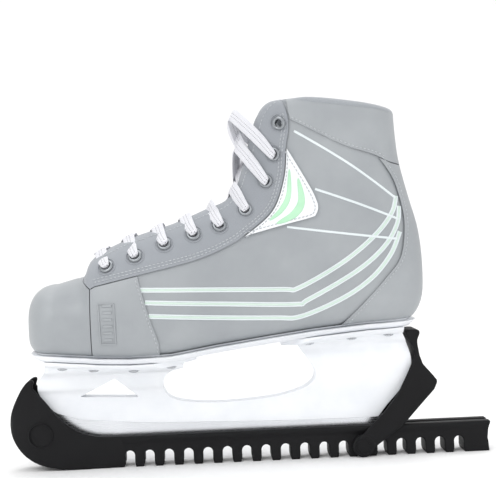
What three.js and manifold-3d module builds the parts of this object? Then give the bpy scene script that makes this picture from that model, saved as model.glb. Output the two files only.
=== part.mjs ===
// An ice hockey skate standing in its walking guard, in millimetres, +Z up.
// The toe points to -X, the skater's left is -Y, and the origin is under the middle, on the floor.
// The boot is one smooth last shape; each layer of the upper is a shell between two offsets of that shape.
import * as THREE from "three";
import { mergeVertices } from "three/addons/utils/BufferGeometryUtils.js";
import Module from "manifold-3d";

const wasm = await Module();
wasm.setup();

// ---------- driving dimensions ----------
const GAP = 0.3; // clearance between pieces that touch
const ORIGIN = [7.5, -1.525, 0]; // brings the middle of the whole object over the origin
const LEFT = -1;
const RIGHT = 1;

// Boot sections, toe to collar. Each lies in a plane through a point on the sole or back line (bx, bz)
// and a point on the top or lacing edge (tx, tz). Across it: half width w, where the widest point lies
// up the section (hm), how square the lower and upper curves are (nb, nt), half the lacing gap g, and
// the tuck-in at the sole (k).
const SECTIONS = [
  { bx: -150, bz: 88.5, tx: -150, tz: 138, w: 45, hm: 0.42, nb: 7, nt: 2.6, g: 0, k: 0.05 },
  { bx: -138, bz: 87.6, tx: -138, tz: 141.2, w: 48.5, hm: 0.42, nb: 7, nt: 2.5, g: 0, k: 0.05 },
  { bx: -127, bz: 87, tx: -127, tz: 144.5, w: 50.5, hm: 0.42, nb: 7, nt: 2.4, g: 0, k: 0.05 },
  { bx: -118, bz: 86, tx: -119, tz: 157, w: 51.5, hm: 0.4, nb: 7, nt: 2.2, g: 16, k: 0.06 },
  { bx: -95, bz: 85, tx: -93, tz: 169.5, w: 52, hm: 0.38, nb: 7, nt: 2.1, g: 19, k: 0.07 },
  { bx: -65, bz: 85.5, tx: -60, tz: 179.5, w: 49.5, hm: 0.36, nb: 7, nt: 2, g: 20, k: 0.08 },
  { bx: -33, bz: 90, tx: -36, tz: 189, w: 45, hm: 0.34, nb: 7, nt: 1.9, g: 20, k: 0.1 },
  { bx: 0, bz: 94, tx: -20, tz: 195.5, w: 41, hm: 0.32, nb: 7, nt: 1.8, g: 19, k: 0.1 },
  { bx: 40, bz: 98.5, tx: -11, tz: 206.5, w: 38, hm: 0.32, nb: 6, nt: 1.7, g: 18, k: 0.1 },
  { bx: 80, bz: 101.5, tx: -6, tz: 220, w: 36, hm: 0.36, nb: 5, nt: 1.7, g: 18, k: 0.08 },
  { bx: 110, bz: 102.5, tx: -2, tz: 231, w: 35, hm: 0.42, nb: 3.6, nt: 1.8, g: 18, k: 0.05 },
  { bx: 123, bz: 116, tx: 0, tz: 238, w: 35.5, hm: 0.48, nb: 2.8, nt: 1.8, g: 18, k: 0 },
  { bx: 125.5, bz: 140, tx: 2.5, tz: 245, w: 36.5, hm: 0.52, nb: 2.5, nt: 1.9, g: 18.5, k: 0 },
  { bx: 123.3, bz: 169, tx: 4.5, tz: 252, w: 37.5, hm: 0.55, nb: 2.4, nt: 1.9, g: 19, k: 0 },
  { bx: 116.6, bz: 195, tx: 6.5, tz: 258, w: 38.5, hm: 0.58, nb: 2.4, nt: 2, g: 20, k: 0 },
  { bx: 110.5, bz: 220, tx: 10, tz: 263.5, w: 41, hm: 0.58, nb: 2.4, nt: 2.1, g: 21.5, k: 0 },
  { bx: 108, bz: 240, tx: 15.5, tz: 267.2, w: 43, hm: 0.58, nb: 2.4, nt: 2.2, g: 23, k: 0 },
  { bx: 107, bz: 257, tx: 23.5, tz: 268.2, w: 44.5, hm: 0.58, nb: 2.4, nt: 2.3, g: 24.5, k: 0 },
];
const LAST = SECTIONS.length - 1;
// the rounded toe in front of the first section
const NOSE = { length: 21, z: 111, bottom: 4, top: 2.4, side: 2.4 };
const TOE_BEND = { y: 4, from: -60, length: 100 }; // the toe leans to the big-toe side of a left foot

// Layers of the upper, as offsets from the outer face of the quarters.
const LINING = [-6, -2 - GAP];
const QUARTER = [-2, 0];
const TOE_CAP = [-2, 0.8];
const OVERLAY = [GAP, 1.5];
const BADGE = [GAP, 2.4];
const INSIDE = -6 - GAP;

const OUTSOLE = { top: GAP, thick: 4.3 };
const FLANGE = { top: 4.9, thick: 4.4, narrow: 0.92 };
const INSOLE = { low: 6.6, high: 10.4 };
const TONGUE = { beyond: -2, edge: -17, arch: 10, thick: 4.5 };

const EYELET = { flange: 5.2, hole: 2.6, barrel: 3.2, clear: 3.8, thick: 1, depth: 3.2, sides: 8 };
const EYELETS = [
  [-108.9, 151.1], [-88.3, 157.9], [-67, 165.8], [-45.7, 172.4], [-26.7, 178.2],
  [-6.8, 189.2], [9.2, 209.8], [15.8, 229.6], [20.4, 251.9],
]; // x and z of each, toe to collar
const LACED = 8; // the lace leaves the top eyelet free
// tails hang inside the boot
const LACE = { radius: 1.4, sides: 6, tail: [[12, 22, 8], [16, 20, 28], [14, 18, 46]] };
const AGLET_LENGTH = 19.7;

const RUNNER = { half: 1.5, bottom: 15.4, slot: 1.9 };
const BOLTS = [{ name: "front", x: -83 }, { name: "rear", x: 78 }];
const BOLT = { shank: 2.4, head: 4.4, headThick: 3, bore: 2.9, counterbore: 5, low: 45 };
const RIVET = { head: 4, headThick: 1.6, shank: 1.8, hole: 2.2, sides: 8 };
// x and |y|
const RIVETS = [[-145, 30], [-122, 33], [-93, 34], [-66, 24], [37, 19], [69, 19.5], [97, 18]];

const RAIL = { half: 10, lip: 10.8, top: 23.2, groove: 2.6, floor: 15, back: 174 };
const TEETH = { first: -99.7, pitch: 14.65, gaps: 18, width: 7.3, top: 12.2 };
const PIVOT_GAP = 12; // the notch that the strap's pin sits in, counted from the toe
const PIVOT = { x: TEETH.first + PIVOT_GAP * TEETH.pitch, z: 8.7 };
const PIN = { radius: 2.9, half: 13.6 };
const STRAP = { inner: 11.3, outer: 14.3, boss: 8.4, bossOuter: 15.2, bore: 3.2, boreEnd: 13.9 };

const COLOURS = {
  grey: "#b1b5b8", greyDark: "#a4a9ad", white: "#eef1f5", lace: "#f4f4f6", green: "#bfe6c8",
  steel: "#c9ccd0", black: "#232325", eyelet: "#9fa4a8", lining: "#8f9499", insole: "#dfe1e2",
};

// ---------- solids ----------
const v3 = (x, y, z) => new THREE.Vector3(x, y, z);

function solid(geometry) {
  const bare = geometry.index ? geometry.toNonIndexed() : geometry.clone();
  bare.deleteAttribute("normal");
  bare.deleteAttribute("uv");
  const merged = mergeVertices(bare, 1e-3);
  return new wasm.Manifold(new wasm.Mesh({
    numProp: 3,
    vertProperties: merged.attributes.position.array,
    triVerts: new Uint32Array(merged.index.array),
  }));
}

function geometryOf(manifold) {
  const mesh = manifold.getMesh();
  const at = new Float32Array(mesh.numVert * 3);
  for (let i = 0; i < mesh.numVert; i++) {
    at.set(mesh.vertProperties.subarray(i * mesh.numProp, i * mesh.numProp + 3), i * 3);
  }
  const made = new THREE.BufferGeometry();
  made.setAttribute("position", new THREE.BufferAttribute(at, 3));
  made.setIndex(new THREE.BufferAttribute(new Uint32Array(mesh.triVerts), 1));
  made.computeVertexNormals();
  return made;
}

const polygon = (points) => new THREE.Shape(points.map(([a, b]) => new THREE.Vector2(a, b)));
const extruded = (shape, depth) =>
  new THREE.ExtrudeGeometry(shape, { depth, bevelEnabled: false, curveSegments: 6 });

// A side-view outline of (x, z) points or a Shape, through y from low to high.
function sidePrism(outline, low, high) {
  const shape = Array.isArray(outline) ? polygon(outline) : outline;
  return solid(extruded(shape, high - low).rotateX(Math.PI / 2).translate(0, high, 0));
}

// A plan outline of (x, y) points, through z from low to high.
const planPrism = (points, low, high) =>
  solid(extruded(polygon(points), high - low).translate(0, 0, low));

// A cross-section of (y, z) points, through x from low to high.
function crossPrism(points, low, high) {
  const turn = new THREE.Matrix4().makeBasis(v3(0, 1, 0), v3(0, 0, 1), v3(1, 0, 0));
  return solid(extruded(polygon(points), high - low).applyMatrix4(turn).translate(low, 0, 0));
}

const box = (x0, x1, y0, y1, z0, z1) =>
  solid(new THREE.BoxGeometry(x1 - x0, y1 - y0, z1 - z0)
    .translate((x0 + x1) / 2, (y0 + y1) / 2, (z0 + z1) / 2));

// A plan outline and its mirror image across y = 0, as one closed line.
const mirrored = (points) => [...points, ...points.map(([x, y]) => [x, -y]).reverse()];

// The same for a cross-section of (y, z) points.
const bothSides = (points) => [...points, ...points.map(([y, z]) => [-y, z]).reverse()];

// A lathe profile of (radius, height) points, turned to stand on `at` along `axis`.
function turned(profile, sides, at, axis) {
  const points = profile.map(([r, h]) => new THREE.Vector2(r, h));
  const made = new THREE.LatheGeometry(points, sides);
  const turn = new THREE.Quaternion().setFromUnitVectors(v3(0, 1, 0), axis.clone().normalize());
  return solid(made.applyQuaternion(turn).translate(at.x, at.y, at.z));
}

const rod = (radius, from, to, sides) => {
  const axis = to.clone().sub(from);
  return turned([[0, 0], [radius, 0], [radius, axis.length()], [0, axis.length()]], sides, from, axis);
};

// A smooth line through (a, b) points.
const smooth = (points, steps) => new THREE.SplineCurve(points.map(([a, b]) => new THREE.Vector2(a, b)))
  .getPoints(steps).map((p) => [p.x, p.y]);

// A closed surface from rings of points; the first ring may be a single point, and both ends are capped.
function loft(rings) {
  const at = [];
  const count = rings[rings.length - 1].length;
  rings.slice(1).forEach((ring, i) => {
    const before = rings[i];
    for (let j = 0; j < count; j++) {
      const k = (j + 1) % count;
      if (before.length === 1) at.push(...before[0], ...ring[k], ...ring[j]);
      else at.push(...before[j], ...before[k], ...ring[k], ...before[j], ...ring[k], ...ring[j]);
    }
  });
  const cap = (ring, flip) => {
    if (ring.length === 1) return;
    const mid = [0, 1, 2].map((axis) => ring.reduce((sum, p) => sum + p[axis], 0) / ring.length);
    ring.forEach((p, j) => {
      const q = ring[(j + 1) % ring.length];
      at.push(...mid, ...(flip ? q : p), ...(flip ? p : q));
    });
  };
  cap(rings[0], true);
  cap(rings[rings.length - 1], false);
  const made = new THREE.BufferGeometry();
  made.setAttribute("position", new THREE.BufferAttribute(new Float32Array(at), 3));
  return solid(made);
}

// ---------- the boot's shape ----------
const smoothstep = (x) => {
  const c = THREE.MathUtils.clamp(x, 0, 1);
  return c * c * (3 - 2 * c);
};
const bendAt = (x) => TOE_BEND.y * smoothstep((TOE_BEND.from - x) / TOE_BEND.length);

function spline(a, b, c, d, f) {
  return b + 0.5 * f * (c - a + f * (2 * a - 5 * b + 4 * c - d + f * (3 * (b - c) + d - a)));
}

// The section at t: 0 to LAST are the table's own sections, and -1 is the tip of the toe.
function sectionAt(t) {
  if (t < 0) {
    const first = SECTIONS[0];
    const angle = (Math.max(t, -1) + 1) * Math.PI / 2;
    const grow = (power) => Math.sin(angle) ** (2 / power);
    const x = first.bx - NOSE.length * Math.cos(angle) ** (2 / NOSE.side);
    return {
      ...first, bx: x, tx: x, w: first.w * grow(NOSE.side),
      bz: NOSE.z + (first.bz - NOSE.z) * grow(NOSE.bottom),
      tz: NOSE.z + (first.tz - NOSE.z) * grow(NOSE.top),
    };
  }
  const i = Math.min(Math.floor(t), LAST - 1);
  const pick = (n) => SECTIONS[THREE.MathUtils.clamp(n, 0, LAST)];
  const made = {};
  for (const key of Object.keys(SECTIONS[0])) {
    made[key] = spline(pick(i - 1)[key], pick(i)[key], pick(i + 1)[key], pick(i + 2)[key], t - i);
  }
  made.g = Math.max(made.g, 0);
  return made;
}

// Half width of a section at h, the share of the way from its sole point to its top point.
function halfWidth(s, h) {
  if (h < s.hm) {
    const low = 1 - Math.max(h, 0) / s.hm;
    return s.w * (1 - low ** s.nb) ** (1 / s.nb) * (1 - s.k * low * low);
  }
  const high = Math.min((h - s.hm) / (1 - s.hm), 1);
  return s.g + (s.w - s.g) * Math.max(0, 1 - high ** s.nt) ** (1 / s.nt);
}

// A point of the outer face: u runs from -1 at the left top edge, under the sole at 0, to 1 on the right.
function surface(t, u) {
  const s = sectionAt(t);
  const a = Math.min(Math.abs(u), 1) * 2;
  const angle = (a < 1 ? a : a - 1) * Math.PI / 2;
  const h = a < 1
    ? s.hm * (1 - Math.cos(angle) ** (2 / s.nb))
    : s.hm + (1 - s.hm) * Math.sin(angle) ** (2 / s.nt);
  const y = Math.sign(u) * halfWidth(s, h);
  const x = s.bx + (s.tx - s.bx) * h;
  return v3(x, y + bendAt(x), s.bz + (s.tz - s.bz) * h);
}

function normal(t, u) {
  if (t <= -0.999) return v3(-1, 0, 0);
  const e = 0.02;
  const uu = THREE.MathUtils.clamp(u, -0.975, 0.975);
  const tt = THREE.MathUtils.clamp(t, -0.97, LAST - e);
  const along = surface(tt + e, uu).sub(surface(tt - e, uu));
  const around = surface(tt, uu + e).sub(surface(tt, uu - e));
  const n = around.cross(along).normalize();
  if (Math.abs(u) > 0.99 && sectionAt(t).g < 1) n.setY(0);
  return n.normalize();
}

const RINGS = [-1, -0.86, -0.62, -0.33];
for (let t = 0; t <= LAST; t++) RINGS.push(t);
const ROUND = [-1, -0.9, -0.79, -0.68, -0.57, -0.47, -0.36, -0.27, -0.18];
const RING_US = [...ROUND, 0, ...ROUND.map((u) => -u).reverse()];

// Everything inside the outer face moved out by `offset`; with `past`, it runs on beyond the collar.
function last(offset, past = 0) {
  const rings = RINGS.map((t) => {
    if (t === -1) return [surface(-1, 0).addScaledVector(v3(-1, 0, 0), offset).toArray()];
    return RING_US.map((u) => surface(t, u).addScaledVector(normal(t, u), offset).toArray());
  });
  if (past) {
    const up = v3(-(SECTIONS[LAST].bz - SECTIONS[LAST].tz), 0, SECTIONS[LAST].bx - SECTIONS[LAST].tx)
      .normalize();
    rings.push(rings[rings.length - 1].map((p) => v3(...p).addScaledVector(up, past).toArray()));
  }
  return loft(rings);
}

const shell = ([low, high]) => last(high).subtract(last(low, 20));

// The lacing gap: the space between the two edges, from the vamp up past the collar.
function lacingGap(extra) {
  const rings = [];
  for (let t = 2.6; t <= LAST + 0.01; t += 0.9) {
    const s = sectionAt(Math.min(t, LAST));
    const up = v3(s.tx - s.bx, 0, s.tz - s.bz).normalize();
    const half = s.g + extra;
    const bend = bendAt(s.tx);
    const ring = [[-half, -14], [half, -14], [half, 25], [-half, 25]];
    rings.push(ring.map(([y, high]) => v3(s.tx, y + bend, s.tz).addScaledVector(up, high).toArray()));
  }
  const final = rings[rings.length - 1];
  rings.push(final.map(([x, y, z]) => [x + 4, y, z + 25]));
  return loft(rings);
}

// The section whose plane holds the side-view point (x, z), as a value of t.
function sectionOf(x, z) {
  let [low, high] = [-1, LAST];
  for (let i = 0; i < 40; i++) {
    const mid = (low + high) / 2;
    const s = sectionAt(mid);
    if ((s.tx - s.bx) * (z - s.bz) - (s.tz - s.bz) * (x - s.bx) < 0) low = mid;
    else high = mid;
  }
  return low;
}

// y of the outer face where the side view shows (x, z).
function sideY(x, z, side) {
  const s = sectionAt(sectionOf(x, z));
  const [dx, dz] = [s.tx - s.bx, s.tz - s.bz];
  const h = ((x - s.bx) * dx + (z - s.bz) * dz) / (dx * dx + dz * dz);
  return side * halfWidth(s, THREE.MathUtils.clamp(h, 0, 1)) + bendAt(x);
}

// The point of the outer face there, moved out by `offset`, and the outward normal n.
function onSide(x, z, side, offset = 0) {
  const e = 0.5;
  const slopeX = (sideY(x + e, z, side) - sideY(x - e, z, side)) / (2 * e);
  const slopeZ = (sideY(x, z + e, side) - sideY(x, z - e, side)) / (2 * e);
  const n = v3(-slopeX, 1, -slopeZ).multiplyScalar(side).normalize();
  return { at: v3(x, sideY(x, z, side), z).addScaledVector(n, offset), n };
}

// The boot's sole line as (x, z) points, and the strip between two depths below it.
const soleLine = SECTIONS.slice(0, 11).map((s) => [s.bx, s.bz]);
const SOLE = [[-200, 91], [-171, 89.8], ...soleLine, [150, 105]];
const strip = (high, low) => sidePrism(
  [...SOLE.map(([x, z]) => [x, z + low]), ...SOLE.map(([x, z]) => [x, z + high]).reverse()], -70, 70);
const soleZ = (x) => {
  const i = SOLE.findIndex(([sx]) => sx > x);
  const [[x0, z0], [x1, z1]] = [SOLE[i - 1], SOLE[i]];
  return z0 + (z1 - z0) * (x - x0) / (x1 - x0);
};

// ---------- panels of the upper, as side-view outlines ----------
const shift = (points, dx, dz) => points.map(([x, z]) => [x + dx, z + dz]);
const EYESTAY_SEAM = smooth([
  [-118, 138.4], [-87, 145.1], [-45, 154.3], [-21, 163.5], [-8.4, 171], [12.3, 188.3],
  [21.6, 211.5], [24.2, 234.3], [26.4, 247.6], [25.4, 258.5], [20, 275],
], 22);
const EYESTAY_OUTLINE = [[-127.6, 141.3], [-121.2, 136.6], ...EYESTAY_SEAM, [0, 290], [-60, 215],
  [-127.6, 190]];
const TOE_EDGE = [[-122, 70], [-122, 136], [-128.3, 141], [-128.3, 170]];
const TOE_OUTLINE = [...TOE_EDGE, [-200, 170], [-200, 70]];
const BEHIND_TOE = [...shift(TOE_EDGE, GAP, 0), [-128, 320], [170, 320], [170, 70]];
const VAMP_OUTLINE = [
  [-121.4, 86.5], [-73, 85], [-73.5, 96.3], [-79.9, 115.6], [-85.3, 136.3], [-87, 144.3],
  [-118, 137.6], [-121.4, 135.6],
];
const COUNTER_OUTLINE = [
  [60, 101], ...smooth([[62.3, 103], [81.5, 121.7], [94.9, 135.8], [106.4, 150], [110.5, 170],
  [109.6, 186.5],
    [104.8, 205], [98.5, 216], [92.4, 223.9]], 12), [103.2, 219.6], [130, 216.2], [150, 216],
    [150, 104],
];
const COLLAR_OUTLINE = [
  ...smooth([[27.8, 254], [45.3, 244.4], [66.8, 233.5], [88.4, 226.4], [103, 220.5], [130, 217]], 10),
  [130, 300], [21, 300], [26.6, 259],
];
const BADGE_OUTLINE = [
  ...shift(EYESTAY_SEAM.filter(([x, z]) => x > -9.5 && z < 236), 0.7, -0.7), [40.2, 205.4], [45, 194.5],
  [46.1, 189], [44.6, 184.4], [41, 182], [20.9, 177.3],
];
const ABOVE_SOLE = [...SOLE.map(([x, z]) => [x, z + 1.5]), [150, 320], [-200, 320]];

const half = (side) =>
  (side === LEFT ? box(-300, 300, -100, -0.2, 0, 400) : box(-300, 300, 0.2, 100, 0, 400));
const sideOnly = (side) => (side === LEFT ? [-100, -2] : [2, 100]);
const panel = (outline, side) => sidePrism(outline, ...sideOnly(side));

const eyeletHoles = (side, count) => wasm.Manifold.union(EYELETS.slice(0, count).map(([x, z]) => {
  const { at, n } = onSide(x, z, side);
  const from = at.clone().addScaledVector(n, -8);
  return rod(EYELET.clear, from, at.addScaledVector(n, 8), EYELET.sides);
}));

const overlay = shell(OVERLAY).intersect(sidePrism(ABOVE_SOLE, -100, 100));
const edges = lacingGap(0);

const quarterShell = shell(QUARTER).intersect(sidePrism(BEHIND_TOE, -100, 100)).subtract(edges);
const quarter = (side) => quarterShell.intersect(half(side))
  .subtract(eyeletHoles(side, EYELETS.length));
const eyestay = (side) => overlay.intersect(panel(EYESTAY_OUTLINE, side)).subtract(edges)
  .subtract(eyeletHoles(side, EYELETS.length));
const vamp = (side) => overlay.intersect(panel(VAMP_OUTLINE, side));
const badge = (side) => shell(BADGE).intersect(panel(BADGE_OUTLINE, side));
const toeCap = () => shell(TOE_CAP).intersect(sidePrism(TOE_OUTLINE, -100, 100))
  .subtract(strip(0, -30));
const heelCounter = () => overlay.intersect(sidePrism(COUNTER_OUTLINE, -100, 100));
const collar = () => overlay.intersect(sidePrism(COLLAR_OUTLINE, -100, 100)).subtract(edges);

function lining() {
  const lacing = [...shift(EYESTAY_SEAM, 1, -1), [0, 300], [-60, 230], [-131, 200], [-131, 134]];
  return shell(LINING).subtract(sidePrism(lacing, -100, 100)).subtract(edges);
}

const insole = () => last(INSIDE - GAP).intersect(strip(INSOLE.high, INSOLE.low))
  .intersect(box(-158, 112, -60, 60, 80, 130));

// The tongue: a padded strip below the lacing edges, from the toe cap to the collar.
function tongue() {
  const rings = [];
  for (let t = 2.9; t <= LAST - 0.05; t += 0.92) {
    const s = sectionAt(t);
    const up = v3(s.tx - s.bx, 0, s.tz - s.bz).normalize();
    const wide = s.g + TONGUE.beyond;
    const arch = (share, high) => [share * wide, high + TONGUE.arch * (1 - share * share)];
    const across = [-1, -0.6, 0, 0.6, 1];
    const low = across.map((share) => arch(share, TONGUE.edge - TONGUE.thick));
    const top = across.map((share) => arch(share, TONGUE.edge)).reverse();
    rings.push([...low, ...top].map(([y, high]) =>
      v3(s.tx, y + bendAt(s.tx), s.tz).addScaledVector(up, high).toArray()));
  }
  return loft(rings);
}

// ---------- eyelets and the lace ----------
function eyelet([x, z], side) {
  const { at, n } = onSide(x, z, side, OVERLAY[1] + GAP + 0.3);
  const { flange, hole, barrel, thick, depth } = EYELET;
  const profile = [[hole, -depth], [barrel, -depth], [barrel, 0], [flange, 0], [flange - 1, thick],
    [hole, thick * 0.8], [hole, -depth]];
  return turned(profile, EYELET.sides, at, n);
}

// A round cord along a line of points, with its section carried along without twist.
function sweep(points, radius, sides) {
  const rings = [];
  let up = v3(0, 0, 1);
  points.forEach((p, i) => {
    const along = points[Math.min(i + 1, points.length - 1)].clone().sub(points[Math.max(i - 1, 0)])
      .normalize();
    const across = along.clone().cross(up).normalize();
    up = across.clone().cross(along).normalize();
    const ring = [];
    for (let k = 0; k < sides; k++) {
      const a = k / sides * 2 * Math.PI;
      ring.push(p.clone().addScaledVector(across, radius * Math.cos(a))
        .addScaledVector(up, -radius * Math.sin(a)).toArray());
    }
    rings.push(ring);
  });
  return loft(rings);
}

// A point near the lacing edge at section t: y across, and high above the edge line.
function nearEdge(t, y, high) {
  const s = sectionAt(t);
  const up = v3(s.tx - s.bx, 0, s.tz - s.bz).normalize();
  return v3(s.tx, y + bendAt(s.tx), s.tz).addScaledVector(up, high);
}

// The slack that lifts the strands off the ankle, for each crossing below eyelet row 1 to 8.
const LOOSE = [0, 0, 0, 0, 0, 1, 7, 15];

// One strand from its crossing, over the edge, in through eyelet `row` on `side`, and back under the edge.
function strand(row, side, lift) {
  const [x, z] = EYELETS[row];
  const t = sectionOf(x, z);
  const before = row ? (sectionOf(...EYELETS[row - 1]) + t) / 2 : t;
  const { g } = sectionAt(t);
  const { at, n } = onSide(x, z, side);
  const loose = LOOSE[row];
  return [
    nearEdge(before, 0, lift + loose),
    nearEdge(t - (t - before) * 0.5, side * (g - 4), 4.2 + loose * 0.9),
    nearEdge(t - (t - before) * 0.35, side * (g + 2.5), 6.4 + loose * 0.6),
    at.clone().addScaledVector(n, 7.4),
    at.clone().addScaledVector(n, 1),
    at.clone().addScaledVector(n, -5.4),
    nearEdge(t + 0.1, side * (g - 1), -5),
  ];
}

function laceRun(start) {
  const points = [];
  for (let row = 0; row < LACED; row++) {
    const side = row % 2 ? -start : start;
    const lift = row === 0 ? 3 : (start === LEFT ? 0.4 : -3.2);
    const passed = strand(row, side, lift);
    points.push(...(row === 0 ? passed.slice(1) : passed));
  }
  points.pop();
  const end = points[points.length - 1];
  const inward = Math.sign(end.y);
  for (const [along, across, down] of LACE.tail) {
    points.push(v3(end.x + along, inward * across, end.z - down));
  }
  return points;
}

function lacePath() {
  const left = laceRun(LEFT);
  const right = laceRun(RIGHT);
  return [...left.reverse(), ...right];
}

function lace() {
  return sweep(lacePath(), LACE.radius, LACE.sides);
}

function aglet(side) {
  const path = lacePath();
  const [tip, before] = side === LEFT ? path : [...path].reverse();
  const down = tip.clone().sub(before).normalize();
  const from = tip.clone().addScaledVector(down, GAP);
  return rod(LACE.radius + 0.4, from, from.clone().addScaledVector(down, AGLET_LENGTH), 8);
}

// ---------- outsole, holder, runner and fasteners ----------
const rivetHoles = (low, high) =>
  wasm.Manifold.union(RIVETS.flatMap(([x, y]) => [LEFT, RIGHT].map((side) =>
  rod(RIVET.hole, v3(x, side * y, soleZ(x) + low), v3(x, side * y, soleZ(x) + high), RIVET.sides))));

// A plate of the boot's own plan, its upper face `top` below the sole line.
const solePlate = ({ top, thick }) => last(1).intersect(strip(0.8 + thick, 0.8))
  .translate([0, 0, -0.8 - top - thick]);

const outsole = () => solePlate(OUTSOLE).subtract(rivetHoles(-30, 30));

const HOLDER_OUTLINE = [
  [-159, 84], [-160, 75], [-166, 67.5], [-166, 58], [-161, 48], [-153, 41.8], [-135, 36.5], [-91, 32.4],
  [-16, 29.8], [33, 28.8], [89, 28.8], [96.5, 38], [107, 50], [113.6, 63], [115, 71.5], [108.6, 92],
  [108.6, 99], [20, 96], [-46, 84],
];
const WINDOW_OUTLINE = [
  ...smooth([[-57, 74], [-67.5, 70.5], [-72.4, 64], [-72, 56.5], [-66, 50], [-52, 46.6], [-34, 45.4],
  [-15, 45.8],
    [9.6, 47.8], [28, 51.8], [38.5, 57], [42, 63], [40.4, 69.4], [30, 85]], 26), [30, 100], [-57, 100],
];
const SPUR_OUTLINE = [[-135.5, 54], [-91.5, 51.8], [-109, 67.4]];

// half of each flange, seen from above
const FRONT_PLAN = [[-158, -45], [-80, -45], [-60, -22], [-47, -9]];
const REAR_PLAN = [[17, -10], [34, -30], [108.6, -30]];

// The blade tower's cross-section, from the blade edge up to the flange at height `top`.
const towerSection = (top, wide) => {
  return bothSides([
    [4.4, 26], [5.6, 44], [7.5, 56], [10.5, top - 14], [wide * 0.7, top - 5], [wide, top],
    [wide, top + 12],
  ]);
};

function holder() {
  const side = sidePrism(HOLDER_OUTLINE, -45, 45).subtract(sidePrism(WINDOW_OUTLINE, -50, 50));
  const front = crossPrism(towerSection(75, 19), -200, -47);
  const rear = crossPrism(towerSection(89, 13.5), -47, 200);
  const towers = side.intersect(front.add(rear)).subtract(strip(60, -FLANGE.top - 0.2));
  const flangeSlab = solePlate(FLANGE).scale([1, FLANGE.narrow, 1]);
  const plates = planPrism(mirrored(FRONT_PLAN), 40, 120).add(planPrism(mirrored(REAR_PLAN), 40, 120));
  let made = towers.add(flangeSlab.intersect(plates)).subtract(sidePrism(SPUR_OUTLINE, -50, 50));
  made = made.subtract(box(-170, 120, -RUNNER.slot, RUNNER.slot, 0, 60)
    .intersect(sidePrism(RUNNER_ROOM, -10, 10)));
  for (const { x } of BOLTS) {
    const top = soleZ(x) - FLANGE.top;
    made = made.subtract(rod(BOLT.bore, v3(x, 0, BOLT.low - GAP - 3), v3(x, 0, 130), 8));
    made = made.subtract(rod(BOLT.counterbore, v3(x, 0, top - BOLT.headThick - 1), v3(x, 0, 130), 10));
  }
  return made.subtract(rivetHoles(-30, 30));
}

const RUNNER_OUTLINE = [
  [-162, 50], [-163.5, 44], [-160, 33], [-152, 22.5], [-141, 16.8], [-130, RUNNER.bottom],
  [84, RUNNER.bottom],
  [89.5, 17.5], [92, 24], [93, 33], [86, 40], [-140, 43], [-155, 51],
];
const RUNNER_ROOM = [
  [-166.5, 52], [-166.5, 0], [130, 0], [96.5, 36], [87, 40.6], [-140, 43.6], [-154.5, 51.8],
];
const runner = () => sidePrism(RUNNER_OUTLINE, -RUNNER.half, RUNNER.half);

function bolt({ x }) {
  const top = soleZ(x) - FLANGE.top - 0.8;
  const profile = [
    [0, BOLT.low], [BOLT.shank, BOLT.low], [BOLT.shank, top - BOLT.headThick],
    [BOLT.head, top - BOLT.headThick], [BOLT.head, top], [0, top],
  ];
  return turned(profile, 10, v3(x, 0, 0), v3(0, 0, 1));
}

function rivet([x, y], side) {
  const under = soleZ(x) - FLANGE.top - FLANGE.thick - GAP - 0.2;
  const top = soleZ(x) - OUTSOLE.top - 0.4 - under;
  const { head, headThick, shank } = RIVET;
  const profile = [[0, -headThick], [head * 0.6, -headThick], [head, -headThick * 0.4], [head, 0],
    [shank, 0], [shank, top], [0, top]];
  return turned(profile, RIVET.sides, v3(x, side * y, under), v3(0, 0, 1));
}

// ---------- the walking guard ----------
const CUP_OUTLINE = [
  [-105, 0], [-135, 0],
  ...smooth([[-143, 0.3], [-156, 1.8], [-169, 6], [-179.5, 13.5], [-186.5, 23.5], [-189, 33],
  [-187.5, 44], [-181, 58], [-175.4, 66], [-172, 68.3]], 14),
  [-169.2, 68.2], [-169, 65.5],
  ...smooth([[-170.5, 62.5], [-161, 51.6], [-153.6, 42], [-146, 34.2], [-136, 27.6], [-125, 24.2],
  [-112, RAIL.top]], 12), [-105, RAIL.top],
];
const CUP_PLAN = [[-189.5, 3], [-187, 6.5], [-182, 9.5], [-174, 12], [-163, 13], [-145, 12.6],
  [-128, 11.2], [-112, 10.4], [-104, 10]];
const CUP_ROOM = [
  ...smooth([[-169, 80], [-173.5, 66], [-179.5, 55], [-184, 42], [-184.5, 32], [-180, 22],
  [-170, 15.5], [-158, 14.4]], 12),
  [-130, 14.6], [-112, 14.8], [-112, 80],
];
const ROOM_PLAN = [[-185.5, 2.5], [-182, 6], [-174, 8.4], [-163, 9.2], [-147, 8], [-133, 5],
  [-118, 2.6], [-111, 2.6]];

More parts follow.
